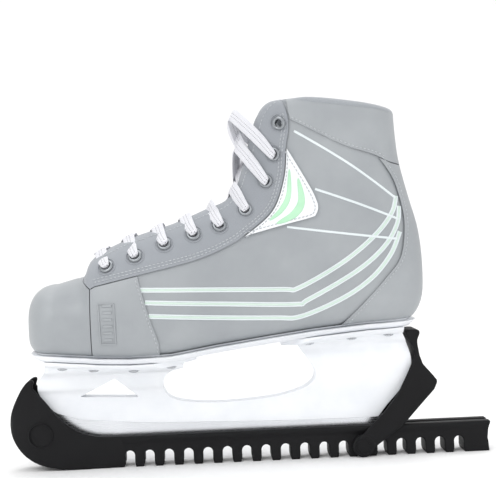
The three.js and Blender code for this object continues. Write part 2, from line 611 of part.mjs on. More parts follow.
function guardRail() {
  const { half: wide, lip, top, groove, floor, back } = RAIL;
  const right = [[10.4, 0], [9.5, 12.4], [9.4, 17], [lip, 20.2], [lip, top - 0.6], [lip - 0.6, top],
    [groove, top], [groove, floor]];
  const beam = crossPrism(bothSides(right), -105.3, back);
  const behind = [
    [170, top + 1], [back + 1, top + 1], [back + 1, -1], [172.6, -1], [171.6, 10], [172.4, 17],
    [back, top],
  ];
  let made = beam.subtract(sidePrism(behind, -20, 20));
  const radius = TEETH.width / 2;
  for (let i = 0; i < TEETH.gaps; i++) {
    const x = TEETH.first + i * TEETH.pitch;
    const notch = new THREE.Shape();
    notch.moveTo(x - radius - 0.8, -1);
    notch.lineTo(x + radius + 0.8, -1);
    notch.lineTo(x + radius, 3);
    notch.lineTo(x + radius, TEETH.top - radius);
    notch.absarc(x, TEETH.top - radius, radius, 0, Math.PI, false);
    notch.lineTo(x - radius, 3);
    made = made.subtract(sidePrism(notch, -20, 20));
  }
  const cup = sidePrism(CUP_OUTLINE, -20, 20).intersect(planPrism(mirrored(CUP_PLAN), -1, 100));
  const room = sidePrism(CUP_ROOM, -20, 20).intersect(planPrism(mirrored(ROOM_PLAN), -1, 100));
  return made.add(cup.intersect(box(-200, -105, -wide - 5, wide + 5, 0, 100))).subtract(room)
    .subtract(box(-114, -100, -groove, groove, floor, 40));
}

// The heel strap: two arms that straddle the rail, joined by a curved hood behind the holder's heel.
const ARM_OUTLINE = [
  [81.8, 22.9], [93.4, 34.1], [103.8, 47.2], [112.5, 64.1], [116.4, 73.1], [118.2, 78], [120.2, 77.4],
  [123.2, 68.5],
  [132, 58], [133.5, 54.6], [131.2, 49], [119.5, 36.7], [106.6, 22.9], [84.5, 7], [68, 10],
];
const HOOD_OUTLINE = [
  [115, 61], [118, 73.1], [111.2, 91.2], [110.6, 93.4], [119.7, 94.6], [121.6, 92], [119.6, 86],
  [120.6, 77.4], [121.4, 70], [119.5, 62.5],
];

function heelStrap() {
  const { inner, outer, boss, bossOuter, bore, boreEnd } = STRAP;
  const hub = (side) => rod(boss, v3(PIVOT.x, side * inner, PIVOT.z),
    v3(PIVOT.x, side * bossOuter, PIVOT.z), 20);
  const arm = (side) =>
    sidePrism(ARM_OUTLINE, side === LEFT ? -outer : inner, side === LEFT ? -inner : outer);
  let made = sidePrism(HOOD_OUTLINE, -outer, outer);
  for (const side of [LEFT, RIGHT]) made = made.add(arm(side)).add(hub(side));
  made = made.subtract(rod(bore, v3(PIVOT.x, -boreEnd, PIVOT.z), v3(PIVOT.x, boreEnd, PIVOT.z), 12));
  return made;
}

const strapPin = () => rod(PIN.radius, v3(PIVOT.x, -PIN.half, PIVOT.z), v3(PIVOT.x, PIN.half, PIVOT.z),
  12);

// ---------- the assembly ----------
const skate = new THREE.Group();
const boot = new THREE.Group();
const chassis = new THREE.Group();
const guard = new THREE.Group();
skate.add(boot, chassis, guard);

function add(group, name, manifold, color, roughness = 0.6, metalness = 0) {
  const mesh = new THREE.Mesh(geometryOf(manifold.translate(ORIGIN)),
    new THREE.MeshStandardMaterial({ color, roughness, metalness }));
  mesh.name = name;
  group.add(mesh);
}

add(boot, "toe_cap", toeCap(), COLOURS.grey, 0.4);
for (const [word, side] of [["left", LEFT], ["right", RIGHT]]) {
  add(boot, `quarter_${word}`, quarter(side), COLOURS.grey, 0.6);
  add(boot, `vamp_panel_${word}`, vamp(side), COLOURS.grey, 0.5);
  add(boot, `eyestay_${word}`, eyestay(side), COLOURS.greyDark, 0.7);
  add(boot, `ankle_badge_${word}`, badge(side), COLOURS.white, 0.5);
}
add(boot, "heel_counter", heelCounter(), COLOURS.grey, 0.5);
add(boot, "collar", collar(), COLOURS.grey, 0.6);
add(boot, "lining", lining(), COLOURS.lining, 0.9);
add(boot, "insole", insole(), COLOURS.insole, 0.9);
add(boot, "tongue", tongue(), COLOURS.greyDark, 0.9);
for (const [word, side] of [["left", LEFT], ["right", RIGHT]]) {
  EYELETS.forEach((place, i) => add(boot, `eyelet_${word}_${i + 1}`, eyelet(place, side),
    COLOURS.eyelet, 0.35, 0.8));
}
add(boot, "lace", lace(), COLOURS.lace, 0.9);
add(boot, "aglet_left", aglet(LEFT), COLOURS.white, 0.3);
add(boot, "aglet_right", aglet(RIGHT), COLOURS.white, 0.3);

add(chassis, "outsole", outsole(), COLOURS.white, 0.5);
add(chassis, "blade_holder", holder(), COLOURS.white, 0.4);
add(chassis, "runner", runner(), COLOURS.steel, 0.2, 1);
for (const place of BOLTS) {
  add(chassis, `runner_bolt_${place.name}`, bolt(place), COLOURS.steel, 0.3, 1);
}
for (const [word, side] of [["left", LEFT], ["right", RIGHT]]) {
  RIVETS.forEach((place, i) => add(chassis, `rivet_${word}_${i + 1}`, rivet(place, side),
    COLOURS.steel, 0.3, 1));
}

add(guard, "guard_rail", guardRail(), COLOURS.black, 0.6);
add(guard, "strap_pin", strapPin(), COLOURS.black, 0.5);
add(guard, "heel_strap", heelStrap(), COLOURS.black, 0.6);

export default skate;
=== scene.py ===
# An ice hockey skate in its walking guard: the looks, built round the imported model.
# Shapes are made in millimetres in the part's own axes (toe to -X, left side to -Y) and placed in metres.
import math

import bmesh
import bpy
import numpy as np
from mathutils import Matrix, Vector


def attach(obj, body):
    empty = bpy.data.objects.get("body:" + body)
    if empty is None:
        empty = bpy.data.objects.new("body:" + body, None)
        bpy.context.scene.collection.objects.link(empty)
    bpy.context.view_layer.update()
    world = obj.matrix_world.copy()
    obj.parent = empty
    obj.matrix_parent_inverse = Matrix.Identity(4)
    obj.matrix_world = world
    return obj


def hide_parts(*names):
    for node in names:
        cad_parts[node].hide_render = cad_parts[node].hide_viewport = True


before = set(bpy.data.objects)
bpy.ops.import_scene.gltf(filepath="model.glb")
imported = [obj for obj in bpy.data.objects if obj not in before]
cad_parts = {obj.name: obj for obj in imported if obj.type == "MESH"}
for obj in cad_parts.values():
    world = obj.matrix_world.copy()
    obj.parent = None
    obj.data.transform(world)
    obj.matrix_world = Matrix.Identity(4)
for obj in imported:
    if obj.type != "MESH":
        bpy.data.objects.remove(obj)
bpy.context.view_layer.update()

ORIGIN = Vector((7.5, -1.525, 0))  # where the boot's own axes sit in the frame, mm
MM = 0.001
LEFT, RIGHT = -1, 1
GAP = 0.3  # clearance between pieces that touch

# Layers of the upper, as offsets from the outer face of the quarters.
LINING = (-6, -2.3)
QUARTER = (-2, 0)
TOE_CAP = (-2, 0.8)
COVER = (GAP, 1.5)
BADGE_LAYER = (GAP, 2.4)
SIDES = (("left", LEFT), ("right", RIGHT))

# ---------- the boot's shape ----------
# Sections from toe to collar: sole or back point, top point, half width, height of the widest point,
# squareness of the lower and upper curves, half the lacing gap, and the tuck-in at the sole.
KEYS = ("bx", "bz", "tx", "tz", "w", "hm", "nb", "nt", "g", "k")
SECTIONS = np.array([
    (-150, 88.5, -150, 138, 45, 0.42, 7, 2.6, 0, 0.05),
    (-138, 87.6, -138, 141.2, 48.5, 0.42, 7, 2.5, 0, 0.05),
    (-127, 87, -127, 144.5, 50.5, 0.42, 7, 2.4, 0, 0.05),
    (-118, 86, -119, 157, 51.5, 0.4, 7, 2.2, 16, 0.06),
    (-95, 85, -93, 169.5, 52, 0.38, 7, 2.1, 19, 0.07),
    (-65, 85.5, -60, 179.5, 49.5, 0.36, 7, 2, 20, 0.08),
    (-33, 90, -36, 189, 45, 0.34, 7, 1.9, 20, 0.1),
    (0, 94, -20, 195.5, 41, 0.32, 7, 1.8, 19, 0.1),
    (40, 98.5, -11, 206.5, 38, 0.32, 6, 1.7, 18, 0.1),
    (80, 101.5, -6, 220, 36, 0.36, 5, 1.7, 18, 0.08),
    (110, 102.5, -2, 231, 35, 0.42, 3.6, 1.8, 18, 0.05),
    (123, 116, 0, 238, 35.5, 0.48, 2.8, 1.8, 18, 0),
    (125.5, 140, 2.5, 245, 36.5, 0.52, 2.5, 1.9, 18.5, 0),
    (123.3, 169, 4.5, 252, 37.5, 0.55, 2.4, 1.9, 19, 0),
    (116.6, 195, 6.5, 258, 38.5, 0.58, 2.4, 2, 20, 0),
    (110.5, 220, 10, 263.5, 41, 0.58, 2.4, 2.1, 21.5, 0),
    (108, 240, 15.5, 267.2, 43, 0.58, 2.4, 2.2, 23, 0),
    (107, 257, 23.5, 268.2, 44.5, 0.58, 2.4, 2.3, 24.5, 0),
], float)
LAST = len(SECTIONS) - 1
NOSE_LENGTH, NOSE_Z = 21, 111
NOSE_SIDE, NOSE_BOTTOM, NOSE_TOP = 2.4, 4, 2.4
BEND, BEND_FROM, BEND_LENGTH = 4, -60, 100
SOLE = np.array([(-200, 91), (-171, 89.8), *SECTIONS[:11, :2], (150, 105)])

EYELETS = [(-108.9, 151.1), (-88.3, 157.9), (-67, 165.8), (-45.7, 172.4), (-26.7, 178.2),
           (-6.8, 189.2), (9.2, 209.8), (15.8, 229.6), (20.4, 251.9)]
LACED = 8
RIVETS = [(-145, 30), (-122, 33), (-93, 34), (-66, 24), (37, 19), (69, 19.5), (97, 18)]
PIVOT = (76.1, 8.7)


def catmull(points, steps):
    """A smooth line through the points, sampled steps times."""
    p = np.asarray(points, float)
    at = np.linspace(0, len(p) - 1, steps + 1)
    i = np.minimum(at.astype(int), len(p) - 2)
    f = (at - i)[:, None]
    top = len(p) - 1
    a, b, c, d = p[np.maximum(i - 1, 0)], p[i], p[i + 1], p[np.minimum(i + 2, top)]
    return b + 0.5 * f * (c - a + f * (2 * a - 5 * b + 4 * c - d + f * (3 * (b - c) + d - a)))


def sections(t):
    t = np.asarray(t, float)
    i = np.clip(np.floor(t).astype(int), 0, LAST - 1)
    f = (np.clip(t, 0, LAST) - i)[..., None]
    a, b, c, d = (SECTIONS[np.clip(i + n, 0, LAST)] for n in (-1, 0, 1, 2))
    values = b + 0.5 * f * (c - a + f * (2 * a - 5 * b + 4 * c - d + f * (3 * (b - c) + d - a)))
    s = {key: values[..., n] for n, key in enumerate(KEYS)}
    s["g"] = np.maximum(s["g"], 0)
    angle = (np.clip(t, -1, 0) + 1) * math.pi / 2
    first = dict(zip(KEYS, SECTIONS[0]))
    nose_x = first["bx"] - NOSE_LENGTH * np.maximum(np.cos(angle), 0) ** (2 / NOSE_SIDE)
    nose = {
        "bx": nose_x, "tx": nose_x, "w": first["w"] * np.sin(angle) ** (2 / NOSE_SIDE),
        "bz": NOSE_Z + (first["bz"] - NOSE_Z) * np.sin(angle) ** (2 / NOSE_BOTTOM),
        "tz": NOSE_Z + (first["tz"] - NOSE_Z) * np.sin(angle) ** (2 / NOSE_TOP),
    }
    for key, value in nose.items():
        s[key] = np.where(t < 0, value, s[key])
    for key in ("hm", "nb", "nt", "g", "k"):
        s[key] = np.where(t < 0, first[key], s[key])
    return s


def bend_at(x):
    c = np.clip((BEND_FROM - x) / BEND_LENGTH, 0, 1)
    return BEND * c * c * (3 - 2 * c)


def half_width(s, h):
    low = 1 - np.clip(h, 0, None) / s["hm"]
    low = np.clip(low, 0, 1)
    under = s["w"] * (1 - low ** s["nb"]) ** (1 / s["nb"]) * (1 - s["k"] * low * low)
    high = np.clip((h - s["hm"]) / (1 - s["hm"]), 0, 1)
    over = s["g"] + (s["w"] - s["g"]) * np.clip(1 - high ** s["nt"], 0, 1) ** (1 / s["nt"])
    return np.where(h < s["hm"], under, over)


def surface(t, u):
    """Points of the outer face: u is -1 at the left lacing edge, 0 under the sole, 1 at the right."""
    s = sections(t)
    a = np.minimum(np.abs(u), 1) * 2
    angle = np.where(a < 1, a, a - 1) * math.pi / 2
    low = s["hm"] * (1 - np.clip(np.cos(angle), 0, 1) ** (2 / s["nb"]))
    high = s["hm"] + (1 - s["hm"]) * np.sin(angle) ** (2 / s["nt"])
    h = np.where(a < 1, low, high)
    x = s["bx"] + (s["tx"] - s["bx"]) * h
    y = np.sign(u) * half_width(s, h) + bend_at(x)
    return np.stack([x, y, s["bz"] + (s["tz"] - s["bz"]) * h], -1)


def normals(t, u):
    e = 0.02
    uu = np.clip(u, -0.975, 0.975)
    tt = np.clip(t, -0.97, LAST - e)
    along = surface(tt + e, uu) - surface(tt - e, uu)
    around = surface(tt, uu + e) - surface(tt, uu - e)
    n = np.cross(around, along)
    closed = (np.abs(u) > 0.99) & (sections(t)["g"] < 1)
    n[..., 1] = np.where(closed, 0, n[..., 1])
    return n / np.linalg.norm(n, axis=-1, keepdims=True)


def side_t(x, z):
    low = np.full(np.shape(x), -1.0)
    high = np.full(np.shape(x), float(LAST))
    for _ in range(36):
        mid = (low + high) / 2
        s = sections(mid)
        past = (s["tx"] - s["bx"]) * (z - s["bz"]) - (s["tz"] - s["bz"]) * (x - s["bx"]) < 0
        low, high = np.where(past, mid, low), np.where(past, high, mid)
    return low


def side_y(x, z, side):
    s = sections(side_t(x, z))
    dx, dz = s["tx"] - s["bx"], s["tz"] - s["bz"]
    h = ((x - s["bx"]) * dx + (z - s["bz"]) * dz) / (dx * dx + dz * dz)
    return side * half_width(s, np.clip(h, 0, 1)) + bend_at(x)


def on_side(points, side, offset=0.0):
    """The outer face where the side view shows (x, z) points, raised by offset, with its normals."""
    p = np.asarray(points, float)
    x, z = p[:, 0], p[:, 1]
    e = 0.5
    slope_x = (side_y(x + e, z, side) - side_y(x - e, z, side)) / (2 * e)
    slope_z = (side_y(x, z + e, side) - side_y(x, z - e, side)) / (2 * e)
    n = np.stack([-slope_x, np.ones_like(x), -slope_z], -1) * side
    n /= np.linalg.norm(n, axis=1, keepdims=True)
    at = np.stack([x, side_y(x, z, side), z], -1)
    return at + n * offset, n


def near_edge(t, y, high):
    s = sections(np.array(float(t)))
    top = np.array([s["tx"], y + bend_at(s["tx"]), s["tz"]], float)
    up = np.array([s["tx"] - s["bx"], 0, s["tz"] - s["bz"]], float)
    return top + up / np.linalg.norm(up) * high


# ---------- solids, in mm ----------
def mesh_object(name, points, faces):
    mesh = bpy.data.meshes.new(name)
    mesh.from_pydata([tuple(map(float, p)) for p in points], [], faces)
    mesh.update()
    made = bpy.data.objects.new(name, mesh)
    bpy.context.scene.collection.objects.link(made)
    return made


def bake(obj):
    graph = bpy.context.evaluated_depsgraph_get()
    mesh = bpy.data.meshes.new_from_object(obj.evaluated_get(graph))
    obj.modifiers.clear()
    obj.data = mesh
    return obj


def combine(body, tool, operation, keep=False):
    cut = body.modifiers.new("cut", "BOOLEAN")
    cut.solver = "MANIFOLD"
    cut.operation = operation
    cut.object = tool
    bake(body)
    if not keep:
        bpy.data.objects.remove(tool)
    return body


def copy(obj):
    made = obj.copy()
    made.data = obj.data.copy()
    bpy.context.scene.collection.objects.link(made)
    return made


def grid_faces(rows, columns, closed):
    faces = []
    for i in range(rows - 1):
        for j in range(columns if closed else columns - 1):
            k = (j + 1) % columns
            faces.append((i * columns + j, i * columns + k, (i + 1) * columns + k, (i + 1) * columns +
                          j))
    return faces


def loft(name, rings, outward=True):
    """A closed surface through rings of points with flat ends."""
    rings = np.asarray(rings, float)
    rows, columns = rings.shape[:2]
    faces = grid_faces(rows, columns, True)
    faces.append(tuple(reversed(range(columns))))
    faces.append(tuple(range((rows - 1) * columns, rows * columns)))
    if not outward:
        faces = [tuple(reversed(f)) for f in faces]
    return mesh_object(name, rings.reshape(-1, 3), faces)


def prism(outline, low, high, axis):
    """An outline of the two other axes, run along one axis from low to high."""
    p = np.asarray(outline, float)
    area = np.sum(p[:, 0] * np.roll(p[:, 1], -1) - np.roll(p[:, 0], -1) * p[:, 1])
    columns = {"x": (1, 2), "y": (0, 2), "z": (0, 1)}[axis]
    main = "xyz".index(axis)
    rings = np.zeros((2, len(p), 3))
    for n, level in enumerate((low, high)):
        rings[n, :, columns[0]] = p[:, 0]
        rings[n, :, columns[1]] = p[:, 1]
        rings[n, :, main] = level
    return loft("prism", rings, (area > 0) != (axis == "y"))


def box(x0, x1, y0, y1, z0, z1):
    return prism([(x0, y0), (x1, y0), (x1, y1), (x0, y1)], z0, z1, "z")


def mirrored(points):
    """Half a plan outline of (x, y) points, with its mirror image across y = 0."""
    return [*points, *[(x, -y) for x, y in points[::-1]]]


def both_sides(points):
    """Half a cross-section of (y, z) points, with its mirror image across y = 0."""
    return [*points, *[(-y, z) for y, z in points[::-1]]]


def turned(name, profile, sides, at, axis):
    """A closed lathe profile of (radius, height) points standing at a point along an axis."""
    turn = Vector((0, 0, 1)).rotation_difference(Vector(axis)).to_matrix()
    points, faces, rows = [], [], len(profile)
    for k in range(sides):
        a = 2 * math.pi * k / sides
        for r, h in profile:
            points.append(Vector(at) + turn @ Vector((r * math.cos(a), r * math.sin(a), h)))
    for k in range(sides):
        after = (k + 1) % sides
        for j in range(rows):
            n = (j + 1) % rows
            faces.append((k * rows + j, after * rows + j, after * rows + n, k * rows + n))
    made = mesh_object(name, points, faces)
    weld(made)
    return made


def weld(obj, distance=1e-4):
    work = bmesh.new()
    work.from_mesh(obj.data)
    bmesh.ops.remove_doubles(work, verts=work.verts, dist=distance)
    bmesh.ops.dissolve_degenerate(work, dist=distance, edges=work.edges)
    bmesh.ops.recalc_face_normals(work, faces=work.faces)
    work.to_mesh(obj.data)
    work.free()


def rod(radius, start, end, sides):
    start, end = Vector(start), Vector(end)
    axis = end - start
    return turned("rod", [(0, 0), (radius, 0), (radius, axis.length), (0, axis.length)], sides, start,
                  axis)


def join(name, parts):
    points, faces = [], []
    for part in parts:
        base = len(points)
        points += [v.co.copy() for v in part.data.vertices]
        faces += [tuple(base + v for v in f.vertices) for f in part.data.polygons]
        bpy.data.objects.remove(part)
    return mesh_object(name, points, faces)


def soften(obj, voxel, rounds=3):
    """Rounds every edge as a moulding has it."""
    remesh = obj.modifiers.new("voxels", "REMESH")
    remesh.mode = "VOXEL"
    remesh.voxel_size = voxel
    smooth = obj.modifiers.new("smooth", "SMOOTH")
    smooth.factor = 0.5
    smooth.iterations = rounds
    return bake(obj)


NOSE_RINGS = np.linspace(-0.97, -0.05, 16)
BODY_RINGS = np.linspace(0, LAST, LAST * 5 + 1)
ROUND = np.linspace(-1, 1, 97)


def last(offset, past=0.0):
    t = np.concatenate([NOSE_RINGS, BODY_RINGS])
    tt, uu = np.meshgrid(t, ROUND, indexing="ij")
    rings = surface(tt, uu) + normals(tt, uu) * offset
    if past:
        b, c = SECTIONS[LAST, :2], SECTIONS[LAST, 2:4]
        up = np.array([c[1] - b[1], 0, b[0] - c[0]])
        rings = np.concatenate([rings, rings[-1:] + up / np.linalg.norm(up) * past])
    return loft("last", rings)


def shell(low, high):
    return combine(last(high), last(low, 20), "DIFFERENCE")


def strip(high, low):
    outline = [(x, z + low) for x, z in SOLE] + [(x, z + high) for x, z in SOLE[::-1]]
    return prism(outline, -70, 70, "y")


def sole_z(x):
    return float(np.interp(x, SOLE[:, 0], SOLE[:, 1]))


def lacing_gap():
    rings = []
    corners = ((-1, -14), (1, -14), (1, 25), (-1, 25))
    for t in np.arange(2.6, LAST + 0.01, 0.3):
        g = float(sections(np.array(t))["g"])
        rings.append([near_edge(t, y * g, high) for y, high in corners])
    rings.append([p + (4, 0, 25) for p in rings[-1]])
    gap = loft("gap", rings)
    weld(gap)
    return gap


# ---------- panels, as side-view outlines ----------
SEAM = catmull([(-118, 138.4), (-87, 145.1), (-45, 154.3), (-21, 163.5), (-8.4, 171), (12.3, 188.3),
                (21.6, 211.5), (24.2, 234.3), (26.4, 247.6), (25.4, 258.5), (20, 275)], 66)
EYESTAY = [(-127.6, 141.3), (-121.2, 136.6), *SEAM, (0, 290), (-60, 215), (-127.6, 190)]
TOE_EDGE = np.array([(-122, 70), (-122, 136), (-128.3, 141), (-128.3, 170)], float)
TOE = [*TOE_EDGE, (-200, 170), (-200, 70)]
BEHIND_TOE = [*(TOE_EDGE + (GAP, 0)), (-128, 320), (170, 320), (170, 70)]
VAMP = [(-121.4, 86.5), (-73, 85), (-73.5, 96.3), (-79.9, 115.6), (-85.3, 136.3), (-87, 144.3),
        (-118, 137.6), (-121.4, 135.6)]
COUNTER_EDGE = catmull([(62.3, 103), (81.5, 121.7), (94.9, 135.8), (106.4, 150), (110.5, 170),
                        (109.6, 186.5), (104.8, 205), (98.5, 216), (92.4, 223.9)], 48)
COUNTER = [(60, 101), *COUNTER_EDGE, (103.2, 219.6), (130, 216.2), (150, 216), (150, 104)]
COLLAR_EDGE = catmull([(27.8, 254), (45.3, 244.4), (66.8, 233.5), (88.4, 226.4), (103, 220.5),
                       (130, 217)], 30)
COLLAR = [*COLLAR_EDGE, (130, 300), (21, 300), (26.6, 259)]
BADGE_FRONT = SEAM[(SEAM[:, 0] > -9.5) & (SEAM[:, 1] < 236)] + (0.7, -0.7)
BADGE_BACK = catmull([(24.9, 233), (40.2, 205.4), (45, 194.5), (46.1, 189), (44.6, 184.4), (41, 182),
                      (20.9, 177.3), (-6.5, 170.6)], 40)
BADGE = [*BADGE_FRONT, *BADGE_BACK[1:-1]]
ABOVE_SOLE = [*(SOLE + (0, 1.5)), (150, 320), (-200, 320)]


def half(side):
    return box(-300, 300, -100, -0.2, 0, 400) if side == LEFT else box(-300, 300, 0.2, 100, 0, 400)


def panel(outline, side=0):
    low, high = {LEFT: (-100, -2), RIGHT: (2, 100), 0: (-100, 100)}[side]
    return prism(outline, low, high, "y")


def eyelet_holes(side):
    at, n = on_side(EYELETS, side)
    return join("holes", [rod(3.8, p - q * 8, p + q * 8, 20) for p, q in zip(at, n)])


# ---------- materials ----------
def rgb(text):
    """An sRGB hex colour as linear values."""
    values = [int(text[i:i + 2], 16) / 255 for i in (0, 2, 4)]
    return [v / 12.92 if v <= 0.04045 else ((v + 0.055) / 1.055) ** 2.4 for v in values] + [1]


class Nodes:
    """A material's node tree, with short ways to add and join nodes."""

    def __init__(self, name):
        self.material = bpy.data.materials.new(name)
        self.material.use_nodes = True
        self.tree = self.material.node_tree
        self.shader = self.tree.nodes["Principled BSDF"]

    def add(self, kind, inputs=None, **settings):
        node = self.tree.nodes.new(kind)
        for key, value in settings.items():
            setattr(node, key, value)
        for key, value in (inputs or {}).items():
            if isinstance(value, bpy.types.NodeSocket):
                self.tree.links.new(value, node.inputs[key])
            else:
                node.inputs[key].default_value = value
        return node

    def place(self, scale=(1, 1, 1), turn=(0, 0, 0), coordinates="Object"):
        found = self.add("ShaderNodeTexCoord").outputs[coordinates]
        return self.add("ShaderNodeMapping", {"Vector": found, "Scale": scale,
                                              "Rotation": turn}).outputs["Vector"]

    def noise(self, vector, scale, detail=4.0, rough=0.55):
        made = self.add("ShaderNodeTexNoise", {"Vector": vector, "Scale": scale, "Detail": detail,
                                               "Roughness": rough})
        return made.outputs["Fac"]

    def math(self, operation, a, b):
        return self.add("ShaderNodeMath", {0: a, 1: b}, operation=operation).outputs[0]

    def ramp(self, value, low, high, a, b):
        made = self.add("ShaderNodeValToRGB", {"Fac": value})
        made.color_ramp.elements[0].position = low
        made.color_ramp.elements[1].position = high
        made.color_ramp.elements[0].color = a
        made.color_ramp.elements[1].color = b
        return made.outputs["Color"]

    def spread(self, value, low, high):
        made = self.add("ShaderNodeMapRange", {"Value": value, "To Min": low, "To Max": high})
        return made.outputs["Result"]

    def bump(self, height, strength, distance, under=None):
        inputs = {"Height": height, "Strength": strength, "Distance": distance}
        if under is not None:
            inputs["Normal"] = under
        return self.add("ShaderNodeBump", inputs).outputs["Normal"]

    def rounded(self, radius):
        return self.add("ShaderNodeBevel", {"Radius": radius}, samples=4).outputs["Normal"]

    def finish(self, **sockets):
        for key, value in sockets.items():
            socket = self.shader.inputs[key.replace("_", " ")]
            if isinstance(value, bpy.types.NodeSocket):
                self.tree.links.new(value, socket)
            else:
                socket.default_value = value
        return self.material


def leather(name, colour, dark, rough=0.5, grain=900.0, depth=0.00012):
    n = Nodes(name)
    at = n.place()
    cells = n.add("ShaderNodeTexVoronoi", {"Vector": at, "Scale": grain},
                  feature="DISTANCE_TO_EDGE").outputs["Distance"]
    broad = n.noise(at, 28.0)
    fine = n.noise(at, grain * 1.8)
    worn = n.noise(at, 9.0, 6.0, 0.65)
    colours = n.ramp(n.math("MULTIPLY", broad, worn), 0.12, 0.42, dark, colour)
    edge = n.rounded(0.0005)
    under = n.bump(broad, 0.08, 0.0015, edge)
    height = n.math("ADD", n.math("MULTIPLY", cells, 1.6), n.math("MULTIPLY", fine, 0.4))
    return n.finish(Base_Color=colours, Roughness=n.spread(worn, rough - 0.08, rough + 0.14),
                    Normal=n.bump(height, 0.35, depth, under), Specular_IOR_Level=0.45)


def weave(name, colour, dark, pitch=0.0011, rough=0.75, depth=0.00035, turn=0.7):
    n = Nodes(name)
    at = n.place(turn=(0, turn, 0))
    scale = 1 / pitch / 2
    across = n.add("ShaderNodeTexWave", {"Vector": at, "Scale": scale, "Distortion": 0.4,
                                         "Detail": 1.0},
                   bands_direction="X").outputs["Fac"]
    along = n.add("ShaderNodeTexWave", {"Vector": at, "Scale": scale, "Distortion": 0.4, "Detail": 1.0},
                  bands_direction="Z").outputs["Fac"]
    threads = n.math("MAXIMUM", across, along)
    fuzz = n.noise(at, 1500.0)
    dirt = n.noise(at, 22.0)
    mixed = n.math("MULTIPLY", threads, n.spread(dirt, 0.75, 1.1))
    height = n.math("ADD", threads, n.math("MULTIPLY", fuzz, 0.5))
    return n.finish(Base_Color=n.ramp(mixed, 0.2, 0.9, dark, colour), Roughness=rough,
                    Normal=n.bump(height, 0.6, depth), Sheen_Weight=0.25)


def plastic(name, colour, dark, rough=0.4, grain=1400.0, depth=0.00005, scuffs=0.0,
            shine=0.5):
    n = Nodes(name)
    at = n.place()
    fine = n.noise(at, grain, 2.0)
    broad = n.noise(at, 30.0, 5.0)
    lines = n.noise(n.place(scale=(20, 200, 500)), 4.0, 6.0, 0.7)
    shade = n.math("ADD", broad, n.math("MULTIPLY", lines, scuffs))
    height = n.math("ADD", fine, n.math("MULTIPLY", lines, scuffs))
    return n.finish(Base_Color=n.ramp(shade, 0.3, 0.75, dark, colour),
                    Roughness=n.spread(broad, rough - 0.07, rough + 0.1),
                    Specular_IOR_Level=shine,
                    Normal=n.bump(height, 0.35, depth, n.rounded(0.0006)))


def steel(name, colour, rough=0.24, along=(6, 900, 900)):
    n = Nodes(name)
    ground = n.noise(n.place(scale=along), 3.0, 5.0, 0.7)
    broad = n.noise(n.place(), 26.0)
    return n.finish(Base_Color=n.ramp(broad, 0.2, 0.8, [c * 0.86 for c in colour[:3]] + [1], colour),
                    Metallic=1.0, Roughness=n.spread(ground, rough - 0.08, rough + 0.12),
                    Normal=n.bump(ground, 0.2, 0.00003, n.rounded(0.0003)))


def lace_weave(name):
    """White flat braid with two rows of dark dots, laid out on the lace's own length and width."""
    n = Nodes(name)
    split = n.add("ShaderNodeSeparateXYZ", {"Vector": n.place(coordinates="UV")}).outputs
    along, across = split["X"], split["Y"]
    left = n.math("SINE", n.math("MULTIPLY", n.math("ADD", along, n.math("MULTIPLY", across, 3.0)),
                                 4.2), 0)
    right = n.math("SINE", n.math("MULTIPLY",
                                  n.math("SUBTRACT", along, n.math("MULTIPLY", across, 3.0)), 4.2), 0)
    braid = n.math("MAXIMUM", left, right)
    slant = n.math("ADD", n.math("MULTIPLY", along, 4.5), n.math("MULTIPLY", across, 2.2))
    dots = n.math("GREATER_THAN", n.math("SINE", slant, 0), 0.35)
    rows = n.math("ABSOLUTE", n.math("SUBTRACT", n.math("ABSOLUTE", across, 0), 1.1), 0)
    tracer = n.math("MULTIPLY", n.math("MULTIPLY", dots, n.math("LESS_THAN", rows, 0.28)), 0.75)
    fuzz = n.noise(n.place(), 900.0)
    white = n.ramp(n.math("MULTIPLY", braid, n.spread(fuzz, 0.7, 1.2)), 0.0, 0.7, rgb("C8CAD6"),
                   rgb("F6F6F8"))
    mixed = n.add("ShaderNodeMix", {"Factor": tracer, "A": white, "B": rgb("4A4A55")}, data_type="RGBA")
    return n.finish(Base_Color=mixed.outputs[2], Roughness=0.85, Normal=n.bump(braid, 0.5, 0.0003),
                    Sheen_Weight=0.2)


